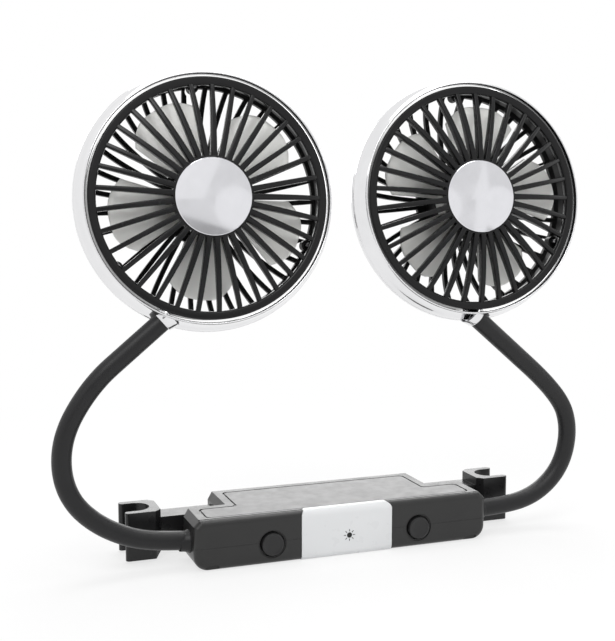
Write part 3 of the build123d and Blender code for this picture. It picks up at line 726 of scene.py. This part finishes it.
def cut_length(whole: Piece, name: str, start: Pair | None, end: Pair | None) -> Piece:
    """Copies a tube and keeps one length of it, with its cut ends filled.

    Args:
        whole: The whole tube.
        name: The length's name.
        start: A point and the running direction where it starts, or None at the tube's start.
        end: The same where it ends, or None at the tube's end.

    Returns:
        The length as its own piece.
    """
    length = own_copy(whole)
    length.name = name
    for cut, keeps_after in ((start, True), (end, False)):
        if cut is None:
            continue
        edit_all(length)
        bpy.ops.mesh.bisect(plane_co=cut[0], plane_no=cut[1], use_fill=True,
                            clear_inner=keeps_after, clear_outer=not keeps_after)
        bpy.ops.object.mode_set(mode="OBJECT")
    return length


# The fan's sub-assemblies


@dataclass
class Head:
    """One caged fan head, built on its own axis: +Z leaves the front and +Y is up."""

    side: Side
    centre_x: float = 67.6 * MM
    centre_y: float = -36.0 * MM
    centre_z: float = 162.8 * MM
    turn: float = radians(-3.0)
    tilt: float = radians(6.5)
    rim_radius: float = 57.8 * MM
    rim_flare: float = 3.1 * MM
    rim_wall: float = 1.3 * MM
    rim_depth: float = 13.0 * MM
    grille_radius: float = 55.4 * MM
    band: float = 3.9 * MM
    rib_count: int = 33
    rib_stations: int = 9
    rib_depth: float = 3.0 * MM
    rib_depth_gain: float = 2.0 * MM
    rib_width: float = 2.1 * MM
    rib_width_gain: float = 0.5 * MM
    rib_arch: float = 1.3 * MM
    rib_sink: float = 0.3 * MM
    hub_radius: float = 18.6 * MM
    hub_rise: float = 7.0 * MM
    cap_radius: float = 17.6 * MM
    cap_crown: float = 1.35 * MM
    blade_count: int = 5
    blade_tip: float = 47.0 * MM
    blade_root: float = 15.5 * MM
    blade_wall: float = 1.2 * MM
    blade_half_width: float = 7.5 * MM
    blade_lead_gain: float = 8.0 * MM
    blade_trail_gain: float = 12.5 * MM
    blade_tip_rounding: float = 0.2
    blade_camber: float = 1.6 * MM
    blade_height: float = -7.6 * MM
    blade_pitch: float = radians(34.0)
    blade_pitch_loss: float = radians(12.0)
    blade_slope: float = 0.62
    left_phase: float = radians(50.0)
    right_phase: float = radians(11.0)

    def place(self) -> Matrix:
        """Where the head is, as its CAD solids have it.

        Returns:
            The matrix from the head's own frame to the fan's.
        """
        across = Vector((cos(self.turn), sin(self.turn), 0.0))
        level = cos(self.tilt)
        ahead = Vector((sin(self.turn) * level, -cos(self.turn) * level, sin(self.tilt)))
        turned = Matrix((across, ahead.cross(across), ahead)).transposed().to_4x4()
        centre = Vector((self.side.sign * self.centre_x, self.centre_y, self.centre_z))
        return Matrix.Translation(centre) @ turned

    def name(self, word: str) -> str:
        """This side's name for a piece."""
        return f"{self.side.label}_{word}"

    def settle(self, piece: Piece, material: bpy.types.Material, body: str, slot: str,
               *nodes: str) -> None:
        """Puts a finished piece in its place on its body.

        Args:
            piece: The piece, in the head's own frame.
            material: Its material.
            body: The CAD body it rides on, without the side's word.
            slot: The record's material slot, passed on to settle, which doesn't use it.
            nodes: The CAD nodes that it stands for, without the side's word.
        """
        bake_place(piece, self.place())
        settle(piece, material, self.name(body), slot, *[self.name(n) for n in nodes])

    def chrome_band(self) -> Piece:
        """The band round the head: a rolled front lip, a side that flares, a groove and a back bead.

        Returns:
            The band.
        """
        outer, wide = self.rim_radius, self.rim_radius + self.rim_flare
        inner = outer - self.rim_wall
        back, front = -self.rim_depth, 0.6 * MM
        profile = [
            (wide - self.rim_wall, back + 0.4 * MM), (wide - 0.9 * MM, back),
            (wide - 0.3 * MM, back + 0.25 * MM), (wide, back + 0.9 * MM),
            (wide - 0.1 * MM, back + 2.9 * MM), (wide - 0.75 * MM, back + 3.2 * MM),
            (wide - 0.8 * MM, back + 3.8 * MM), (wide - 0.35 * MM, back + 4.1 * MM),
            (outer + 0.55 * self.rim_flare, back + 6.4 * MM),
            (outer + 0.22 * self.rim_flare, front - 4.6 * MM), (outer, front - 1.5 * MM),
            (outer - 0.2 * MM, front - 0.5 * MM), (outer - 0.6 * MM, front),
            (outer - 1.0 * MM, front - 0.15 * MM), (outer - 1.25 * MM, front - 0.7 * MM),
            (outer - 1.3 * MM, front - 2.0 * MM), (inner - 0.1 * MM, front - 3.4 * MM),
        ]
        return lathe(self.name("chrome_band"), profile, 144, rounding=0.12 * MM)

    def grille_ring(self) -> Piece:
        """The grille's outer ring, with its rounded face, inner step and skirt.

        Returns:
            The ring.
        """
        outer, inner = self.grille_radius, self.grille_radius - self.band
        profile = [
            (outer, -8.0 * MM), (outer, -0.6 * MM), (outer - 0.6 * MM, 0.0), (inner + 0.9 * MM, 0.0),
            (inner + 0.2 * MM, -0.5 * MM), (inner, -1.3 * MM), (inner, -3.0 * MM),
            (outer - 1.5 * MM, -3.2 * MM), (outer - 1.5 * MM, -8.0 * MM),
        ]
        return lathe(self.name("grille_ring"), profile, 144, rounding=0.15 * MM)

    def grille_ribs(self) -> Piece:
        """The radial ribs: thin fins that rise to the hub and deepen towards it.

        Returns:
            The ribs as one piece.
        """
        stations = []
        reach = self.grille_radius - self.band + 1.0 * MM
        start = self.hub_radius - 1.0 * MM
        for i in range(self.rib_stations):
            share = i / (self.rib_stations - 1)
            radius = reach + (start - reach) * share
            top = self.rib_top(radius)
            depth = self.rib_depth + self.rib_depth_gain * share
            width = self.rib_width + self.rib_width_gain * share
            stations.append((radius, 0.0, top - depth / 2, width, depth))
        rib = drawn_bar(self.name("grille_ribs"), stations)
        soften(rib, 0.5 * MM, 3)
        return round_copies(rib, self.rib_count)

    def rib_top(self, radius: float) -> float:
        """The height of the ribs' crest at a distance from the axis.

        Args:
            radius: The distance from the head's axis.

        Returns:
            The height over the front plane.
        """
        outer = self.grille_radius - self.band + 0.6 * MM
        share = (outer - radius) / (outer - self.hub_radius + 1.0 * MM)
        arch = 4 * self.rib_arch * share * (1 - share)
        return -self.rib_sink + (self.hub_rise + self.rib_sink) * share + arch

    def grille_hub(self) -> Piece:
        """The grille's hub, with the raised edge that the cap sits in.

        Returns:
            The hub.
        """
        rise, radius = self.hub_rise, self.hub_radius
        profile = [
            (radius - 3.0 * MM, rise - 5.0 * MM), (radius - 0.5 * MM, rise - 5.0 * MM),
            (radius, rise - 4.4 * MM), (radius, rise - 0.45 * MM), (radius - 0.35 * MM, rise),
            (self.cap_radius + 0.25 * MM, rise), (self.cap_radius + 0.15 * MM, rise - 0.8 * MM),
            (radius - 4.4 * MM, rise - 0.8 * MM), (radius - 4.4 * MM, rise - 2.6 * MM),
            (radius - 3.0 * MM, rise - 2.6 * MM),
        ]
        return lathe(self.name("grille_hub"), profile, 96, rounding=0.1 * MM)

    def cap(self) -> Piece:
        """The silver cap: a shallow dome over a short upright edge.

        Returns:
            The cap.
        """
        foot, radius = self.hub_rise - 0.8 * MM, self.cap_radius
        edge = foot + 1.2 * MM
        shares = (0.985, 0.9, 0.75, 0.55, 0.35, 0.15, 0.004)
        dome = [(radius * s, edge + self.cap_crown * (1 - s * s)) for s in shares]
        profile = [(radius * shares[-1], foot), (radius, foot), (radius, edge - 0.25 * MM)] + dome
        return lathe(self.name("cap"), profile, 96, ring=False)

    def blades(self) -> Piece:
        """The broad, pitched and cambered blades with rounded tips.

        Returns:
            The blades as one piece.
        """
        clear_selection()
        bpy.ops.mesh.primitive_grid_add(x_subdivisions=18, y_subdivisions=14, size=1)
        blade = bpy.context.object
        blade.name = self.name("blades")
        for vertex in blade.data.vertices:
            along, across = vertex.co.x + 0.5, vertex.co.y * 2
            vertex.co = self.blade_point(along, across)
        pick(blade)
        wall = blade.modifiers.new("wall", "SOLIDIFY")
        wall.thickness = self.blade_wall
        wall.offset = 0.0
        bpy.ops.object.modifier_apply(modifier="wall")
        soften(blade, 0.35 * MM, 2)
        return round_copies(blade, self.blade_count, self.blade_phase())

    def blade_phase(self) -> float:
        """The angle of the first blade, as the photograph has it on this side."""
        return self.left_phase if self.side is Side.LEFT else self.right_phase

    def blade_point(self, along: float, across: float) -> Vector:
        """A point on a blade's middle sheet.

        Args:
            along: 0 at the root and 1 at the tip.
            across: -1 at the trailing edge and 1 at the leading edge.

        Returns:
            The point in the head's frame, for the blade on +X.
        """
        gain = self.blade_lead_gain if across > 0 else self.blade_trail_gain
        swept = across * (self.blade_half_width + gain * along)
        tip = self.blade_tip * (1 - self.blade_tip_rounding * abs(across) ** 3)
        radius = self.blade_root - 0.6 * MM + (tip - self.blade_root) * along
        camber = self.blade_camber * (1 - across * across)
        pitch = self.blade_pitch - self.blade_pitch_loss * along
        height = self.blade_height + camber - swept * sin(pitch) * self.blade_slope
        return Vector((radius, swept * cos(pitch), height))

    def blade_hub(self) -> Piece:
        """The cup-shaped hub that carries the blades.

        Returns:
            The hub.
        """
        front, back, radius = -1.6 * MM, -13.6 * MM, self.blade_root
        profile = [
            (radius - 1.5 * MM, back), (radius, back), (radius, front - 2.0 * MM),
            (radius - 0.6 * MM, front - 0.7 * MM), (radius - 2.0 * MM, front), (2.6 * MM, front),
            (0.9 * MM, front - 0.4 * MM), (0.9 * MM, front - 1.6 * MM),
            (radius - 2.4 * MM, front - 1.8 * MM), (radius - 1.5 * MM, front - 2.8 * MM),
        ]
        return lathe(self.name("blade_hub"), profile, 72, rounding=0.15 * MM)

    def build(self, looks: Looks, nodes: Nodes) -> None:
        """Builds the head's pieces and dresses the CAD nodes that stay.

        Args:
            looks: The materials by name.
            nodes: The CAD nodes by name.
        """
        self.settle(self.chrome_band(), looks["chrome"], "head", "bright_chrome", "rim_ring")
        self.settle(self.grille_ring(), looks["grille"], "head", "grille_plastic", "front_grille")
        self.settle(self.grille_ribs(), looks["grille"], "head", "grille_plastic")
        self.settle(self.grille_hub(), looks["grille"], "head", "grille_plastic")
        self.settle(self.cap(), looks["cap"], "head", "cap_silver", "hub_cap")
        self.settle(self.blades(), looks["blade"], "rotor", "blade_plastic", "impeller")
        self.settle(self.blade_hub(), looks["blade"], "rotor", "blade_plastic")
        worn = {"rear_guard": "guard", "guard_screws": "steel", "motor": "steel", "motor_shaft": "steel"}
        for word, look in worn.items():
            dress(nodes[self.name(word)], looks[look])


def halfway(points: list[Vector], i: int) -> Pair:
    """The middle of the run that starts at point i of a line, and the run's direction."""
    return (points[i] + points[i + 1]) / 2, (points[i + 1] - points[i]).normalized()


@dataclass
class Neck:
    """One bendable neck: a rubber sleeve over a steel core, in three lengths that meet on straight runs."""

    side: Side
    route: tuple[tuple[float, float, float], ...]
    swing: Pair
    lean: Pair
    turn: Pair
    sleeve_radius: float = 4.6 * MM
    core_radius: float = 3.2 * MM
    bend_reach: float = 13.0 * MM
    end_wall: float = 77.0 * MM
    foot_y: float = -24.0 * MM

    def points(self) -> list[Vector]:
        """The control points of the neck's line, in metres."""
        return [Vector(p) * MM for p in self.route]

    def seams(self) -> tuple[Pair, Pair]:
        """Where the lengths meet: halfway along the runs between the joints.

        Returns:
            A point and the running direction for each of the two seams.
        """
        points = self.points()
        return tuple(halfway(points, i) for i in (2, 4))

    def socket(self) -> Piece:
        """The short chrome boss under the rim that the neck's end seats in.

        Returns:
            The boss.
        """
        bore = self.sleeve_radius + 0.1 * MM
        profile = [
            (bore, -2.6 * MM), (5.2 * MM, -2.6 * MM), (5.45 * MM, -2.2 * MM), (5.7 * MM, -1.0 * MM),
            (6.1 * MM, 0.6 * MM), (6.4 * MM, 2.2 * MM), (bore, 2.2 * MM),
        ]
        piece = lathe(f"{self.side.label}_socket_boss", profile, 48, rounding=0.1 * MM)
        _, way = self.turn
        turned = way.to_track_quat("Z", "Y").to_matrix().to_4x4()
        return bake_place(piece, Matrix.Translation(self.points()[-1]) @ turned)

    def collar(self) -> Piece:
        """The soft collar where the neck leaves the body's end wall, with its flange inside the wall.

        Returns:
            The collar.
        """
        bore, wall = self.sleeve_radius + 0.05 * MM, self.end_wall
        profile = [
            (bore, wall - 3.8 * MM), (6.6 * MM, wall - 3.8 * MM), (6.6 * MM, wall - 2.3 * MM),
            (5.6 * MM, wall - 2.3 * MM), (5.6 * MM, wall + 0.2 * MM), (5.45 * MM, wall + 0.9 * MM),
            (5.1 * MM, wall + 1.5 * MM), (4.85 * MM, wall + 2.6 * MM), (4.7 * MM, wall + 4.6 * MM),
            (bore, wall + 4.7 * MM),
        ]
        piece = lathe(f"{self.side.label}_collar", profile, 48, rounding=0.08 * MM)
        turned = Matrix.Rotation(self.side.sign * pi / 2, 4, "Y")
        return bake_place(piece, Matrix.Translation((0.0, self.foot_y, 0.0)) @ turned)

    def build(self, looks: Looks, nodes: Nodes) -> None:
        """Builds sleeve and core and cuts them into three lengths.

        Args:
            looks: The materials by name.
            nodes: The CAD nodes by name.
        """
        label = self.side.label
        first, second = self.seams()
        cuts = [(None, first), (first, second), (second, None)]
        joints = [self.swing, self.lean, self.turn]
        places = [("foot", "lower"), ("upper",), ("head",)]
        layers = (("sleeve", self.sleeve_radius, 32, "rubber", "rubber"),
                  ("core", self.core_radius, 16, "steel", "neck_steel"))
        for layer, radius, around, look, slot in layers:
            whole = tube(f"{label}_{layer}_whole", self.points(), radius, around)
            for i, (cut, joint, stood_for) in enumerate(zip(cuts, joints, places)):
                piece = cut_length(whole, f"{label}_{layer}_{i + 1}", *cut)
                soften(piece, 0.0)
                dress(piece, looks[look])
                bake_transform(piece)
                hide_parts(*[f"{label}_{layer}_{word}" for word in stood_for])
                LOG.info("%s: %d faces", piece.name, len(piece.data.polygons))
            bpy.data.objects.remove(whole)
        settle(self.socket(), looks["chrome"], f"{label}_head", "bright_chrome", f"{label}_neck_socket")
        settle(self.collar(), looks["rubber"], "body", "rubber", f"{label}_ferrule")
        dress(nodes[f"{label}_neck_nut"], looks["steel"])


@dataclass
class Body:
    """The body with its light panel, buttons, hooks and inner pieces."""

    front: float = -36.0 * MM
    button_x: float = 38.7 * MM
    button_z: float = -2.3 * MM
    button_radius: float = 5.65 * MM
    mark_x: float = 1.0 * MM
    mark_z: float = -2.0 * MM
    mark_radius: float = 1.35 * MM
    mark_depth: float = 0.04 * MM
    panel_step: float = 0.31 * MM
    ray_count: int = 8
    spring_radius: float = 3.25 * MM
    spring_wire: float = 0.45 * MM
    spring_turns: int = 9
    slide: float = 20 * MM

    def button(self, side: Side) -> Piece:
        """A push button: a rolled rim round a shallow dish, with its flange behind the wall.

        Args:
            side: Which of the two.

        Returns:
            The button.
        """
        r = self.button_radius
        profile = [
            (0.0015 * r, -7.7 * MM), (1.6 * MM, -7.7 * MM), (1.6 * MM, -3.5 * MM),
            (r + 1.5 * MM, -3.5 * MM), (r + 1.5 * MM, -2.3 * MM), (r, -2.3 * MM), (r, 0.5 * MM),
            (r - 0.25 * MM, 1.05 * MM), (r - 0.8 * MM, 1.3 * MM), (r - 1.35 * MM, 1.12 * MM),
            (r - 2.2 * MM, 0.95 * MM), (r * 0.35, 0.85 * MM), (0.0015 * r, 0.82 * MM),
        ]
        piece = lathe(f"{side.label}_button_cap", profile, 64, ring=False)
        place = Matrix.Translation((side.sign * self.button_x, self.front, self.button_z))
        return bake_place(piece, place @ Matrix.Rotation(pi / 2, 4, "X"))

    def sun_mark(self) -> Piece:
        """The lamp sign on the panel: a dot with rays round it.

        Returns:
            The sign, as a thin print on the panel's face.
        """
        clear_selection()
        bpy.ops.mesh.primitive_cylinder_add(vertices=40, radius=self.mark_radius, depth=self.mark_depth)
        dot = bake_place(bpy.context.object)
        ray = drawn_bar("ray", [(1.85 * MM, 0, 0, 0.46 * MM, self.mark_depth),
                                (3.0 * MM, 0, 0, 0.26 * MM, self.mark_depth)])
        rays = round_copies(ray, self.ray_count)
        mark = joined([dot, rays], "lamp_sign")
        soften(mark, 0.0)
        place = Matrix.Translation((self.mark_x, self.front - self.panel_step, self.mark_z))
        return bake_place(mark, place @ Matrix.Rotation(pi / 2, 4, "X"))

    def spring(self, side: Side) -> Piece:
        """A hook's compression spring, from the middle stop to the bottom of the arm's bore.

        Args:
            side: Which of the two.

        Returns:
            The spring.
        """
        low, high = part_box(f"{side.label}_arm_spring")
        clear_selection()
        bpy.ops.mesh.primitive_circle_add(vertices=10, radius=self.spring_wire, fill_type="NOTHING",
                                          location=(self.spring_radius, 0, 0), rotation=(pi / 2, 0, 0))
        wire = bake_place(bpy.context.object)
        wire.name = f"{side.label}_spring_coil"
        coil = wire.modifiers.new("coil", "SCREW")
        coil.axis = "Z"
        coil.angle = 2 * pi * self.spring_turns
        coil.screw_offset = high.x - low.x - 2 * self.spring_wire
        coil.steps = coil.render_steps = 18 * self.spring_turns
        pick(wire)
        bpy.ops.object.modifier_apply(modifier="coil")
        close_up(wire)
        soften(wire, 0.0)
        middle = (low + high) / 2
        start = Vector((low.x + self.spring_wire, middle.y, middle.z))
        return bake_place(wire, Matrix.Translation(start) @ Matrix.Rotation(pi / 2, 4, "Y"))

    def build(self, looks: Looks, nodes: Nodes) -> None:
        """Builds the body's own pieces and dresses its CAD nodes.

        Args:
            looks: The materials by name.
            nodes: The CAD nodes by name.
        """
        worn = {"lower_housing": "housing", "top_cover": "housing", "light_lens": "panel",
                "light_board": "board", "control_board": "board", "housing_screws": "steel",
                "power_inlet": "steel"}
        for name, look in worn.items():
            dress(nodes[name], looks[look])
        settle(self.sun_mark(), looks["mark"], "body", "housing_plastic")
        for side in Side:
            label = side.label
            dress(nodes[f"{label}_arm"], looks["hook"])
            dress(nodes[f"{label}_switch"], looks["inside"])
            settle(self.button(side), looks["button"], f"{label}_push_button", "button_plastic",
                   f"{label}_button")
            spring = self.spring(side)
            settle(spring, looks["steel"], "body", "spring_steel", f"{label}_arm_spring")
            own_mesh(spring)


# The studio


@dataclass(frozen=True)
class Card:
    """A plain card that only polished surfaces see, drawn in a frame with X across and Y up."""

    name: str
    size: tuple[float, float]
    level: float
    middle: tuple[float, float] = (0.0, 0.0)
    turn: float = 0.0
    layer: int = 0
    disc: bool = False

    def hang(self, place: Matrix) -> None:
        """Hangs the card, a millimetre nearer to what mirrors it for each layer.

        Args:
            place: The frame that it is drawn in, whose Z runs away from what mirrors it.
        """
        clear_selection()
        if self.disc:
            bpy.ops.mesh.primitive_circle_add(vertices=48, radius=0.5, fill_type="NGON")
        else:
            bpy.ops.mesh.primitive_plane_add(size=1.0)
        card = bpy.context.object
        card.name = self.name
        card.scale = (*self.size, 1.0)
        card.rotation_euler = (0.0, 0.0, radians(self.turn))
        card.location = (*self.middle, -self.layer * MM)
        bake_place(bake_place(card), place)
        material = bpy.data.materials.new(self.name)
        material.use_nodes = True
        tree = material.node_tree
        tree.nodes.clear()
        glow = add_node(tree, "Emission", {"Color": (self.level, self.level, self.level, 1.0)})
        add_node(tree, "OutputMaterial", {"Surface": glow.outputs[0]})
        dress(card, material)
        card.visible_camera = False
        card.visible_diffuse = False
        card.visible_transmission = False
        card.visible_shadow = False


@dataclass(frozen=True)
class Lamp:
    """A soft square lamp: where it hangs, its side and its power in watts."""

    name: str
    place: tuple[float, float, float]
    size: float
    power: float

    def hang(self, target: Vector) -> None:
        """Adds the lamp, unseen by the camera.

        Args:
            target: The point that it faces.
        """
        data = bpy.data.lights.new(self.name, "AREA")
        data.energy = self.power
        data.size = self.size
        lamp = bpy.data.objects.new(self.name, data)
        lamp.visible_camera = False
        lamp.location = self.place
        lamp.rotation_euler = (target - Vector(self.place)).to_track_quat("-Z", "Y").to_euler()
        bpy.context.scene.collection.objects.link(lamp)


@dataclass
class Studio:
    """The floor, the lamps, the cards, the world and the camera."""

    camera_place: tuple[float, float, float] = (-0.2001, -0.5225, 0.1638)
    camera_turn: tuple[float, float, float] = (83.53, 0.0, -20.22)
    lens: float = 61.78
    sensor: float = 36.0
    ambient: float = 0.34
    floor_z: float = -12.4 * MM
    floor_size: float = 6.0
    shadow_reach: tuple[float, float] = (0.12, 0.42)
    least_white: float = 0.72
    cap_height: float = 8.4 * MM
    card_reach: float = 0.318
    lamp_target: tuple[float, float, float] = (0.0, 0.0, 0.08)
    lamps: tuple[Lamp, ...] = (
        Lamp("key", (-0.5, -0.7, 0.9), 0.6, 5.2),
        Lamp("top", (0.1, 0.1, 1.0), 0.8, 6.4),
        Lamp("fill", (0.8, -0.5, 0.4), 0.6, 1.6),
        Lamp("back", (0.35, 1.2, 0.55), 0.9, 5.5),
    )

    def camera(self) -> None:
        """Sets the camera where the photograph was taken from."""
        data = bpy.data.cameras.new("camera")
        data.lens = self.lens
        data.sensor_width = self.sensor
        camera = bpy.data.objects.new("camera", data)
        camera.location = self.camera_place
        camera.rotation_euler = [radians(a) for a in self.camera_turn]
        bpy.context.scene.collection.objects.link(camera)
        bpy.context.scene.camera = camera

    def world(self) -> None:
        """A soft grey light all round, and white where it is seen directly or in a mirror."""
        world = bpy.data.worlds.new("studio")
        world.use_nodes = True
        tree = world.node_tree
        lamp = tree.nodes["Background"]
        feed(tree, lamp, {"Color": WHITE, "Strength": self.ambient})
        white = add_node(tree, "Background", {"Color": WHITE, "Strength": 1.0})
        feeds = {0: seen_directly(tree), 1: lamp.outputs[0], 2: white.outputs[0]}
        mixed = add_node(tree, "MixShader", feeds)
        feed(tree, tree.nodes["World Output"], {"Surface": mixed.outputs[0]})
        bpy.context.scene.world = world

    def floor(self) -> None:
        """A plain pale floor that keeps the fan's shadow and turns to even white away from it."""
        clear_selection()
        bpy.ops.mesh.primitive_plane_add(size=self.floor_size, location=(0, 0, self.floor_z))
        floor = bake_place(bpy.context.object)
        floor.name = "floor"
        material, tree, shader = new_material("pale floor")
        feed(tree, shader, {"Base Color": (0.9, 0.9, 0.9, 1.0), "Roughness": 0.8,
                            "Specular IOR Level": 0.0})
        white = add_node(tree, "Emission", {"Strength": 1.0})
        far = add_node(tree, "VectorMath", {0: own_place(tree)}, operation="LENGTH")
        near_edge, far_edge = self.shadow_reach
        feeds = {"Value": far.outputs["Value"], "From Min": near_edge, "From Max": far_edge,
                 "To Min": self.least_white, "To Max": 1.0}
        share = add_node(tree, "MapRange", feeds, interpolation_type="SMOOTHSTEP")
        feeds = {0: seen_directly(tree), 1: share.outputs["Result"]}
        weight = add_node(tree, "Math", feeds, operation="MULTIPLY")
        feeds = {0: weight.outputs[0], 1: shader.outputs[0], 2: white.outputs[0]}
        mixed = add_node(tree, "MixShader", feeds)
        feed(tree, tree.nodes["Material Output"], {"Surface": mixed.outputs[0]})
        dress(floor, material)

    def cards(self, head: Head) -> None:
        """Hangs the cards that a head's silver cap mirrors.

        Args:
            head: The head.
        """
        place = head.place()
        centre = place @ Vector((0.0, 0.0, self.cap_height))
        normal = (place.to_3x3() @ Vector((0.0, 0.0, 1.0))).normalized()
        sight = (centre - Vector(self.camera_place)).normalized()
        ray = (sight - 2 * sight.dot(normal) * normal).normalized()
        across = place.to_3x3() @ Vector((1.0, 0.0, 0.0))
        across = (across - across.dot(ray) * ray).normalized()
        turned = Matrix((across, across.cross(-ray), ray)).transposed().to_4x4()
        frame = Matrix.Translation(centre + ray * self.card_reach) @ turned
        start = f"{head.side.label}_card_"
        for card in (
            Card(start + "back", (0.46, 0.46), 1.0, layer=-1),
            Card(start + "side", (0.18, 0.30), 0.84, middle=(0.078, 0.02), turn=-26.0),
            Card(start + "low", (0.36, 0.15), 0.84, middle=(0.0, -0.085), layer=1),
            Card(start + "dark", (0.20, 0.10), 0.45, middle=(-0.035, -0.135), turn=-14.7, layer=2),
            Card(start + "round", (0.136, 0.136), 1.0, middle=(0.066, -0.035), layer=3, disc=True),
        ):
            card.hang(frame)

    def build(self) -> None:
        """Sets up everything that isn't part of the fan."""
        self.camera()
        self.world()
        self.floor()
        for side in Side:
            self.cards(Head(side))
        upright = Matrix.Rotation(pi / 2, 4, "X")
        Card("card_ahead", (3.2, 0.74), 0.30).hang(Matrix.Translation((0.1, -1.3, 0.3)) @ upright)
        sideways = upright @ Matrix.Rotation(pi / 2, 4, "Y")
        Card("card_aside", (1.6, 0.6), 0.25).hang(Matrix.Translation((1.5, -0.3, 0.2)) @ sideways)
        for lamp in self.lamps:
            lamp.hang(Vector(self.lamp_target))
        bpy.context.scene.view_settings.view_transform = "Standard"
        LOG.info("studio set")


def necks() -> list[Neck]:
    """The two necks: each route starts inside the body and ends at the head's rim.

    Returns:
        The left and the right neck.
    """
    left = ((-61, -24, 0), (-92, -24, 0), (-118, -24, 9.8), (-135, -25.5, 27.8), (-137, -27.5, 53.8),
            (-123, -30, 78.8), (-103.752, -32.26, 95.514), (-88.71, -34.026, 108.576))
    right = ((61, -24, 0), (92, -24, 0), (114, -24, 4.3), (129, -25, 19), (132, -27, 41),
             (123, -29, 60), (83.134, -33.743, 92.091), (67.62, -35.509, 104.579))
    made = []
    for side, route in ((Side.LEFT, left), (Side.RIGHT, right)):
        points = [Vector(p) * MM for p in route]
        turn = (points[6], (points[7] - points[6]).normalized())
        made.append(Neck(side, route, swing=halfway(points, 1), lean=halfway(points, 3), turn=turn))
    return made


def main() -> None:
    """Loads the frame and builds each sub-assembly."""
    logging.basicConfig(level=logging.INFO, format="%(name)s: %(message)s")
    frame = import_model()
    nodes = frame["nodes"]
    finishes = Finishes()
    looks = {name: getattr(finishes, name).make() for name in finishes.__dataclass_fields__}
    Body().build(looks, nodes)
    for neck in necks():
        neck.build(looks, nodes)
    for side in Side:
        Head(side).build(looks, nodes)
    Studio().build()
    clear_selection()


if __name__ == "__main__":
    main()
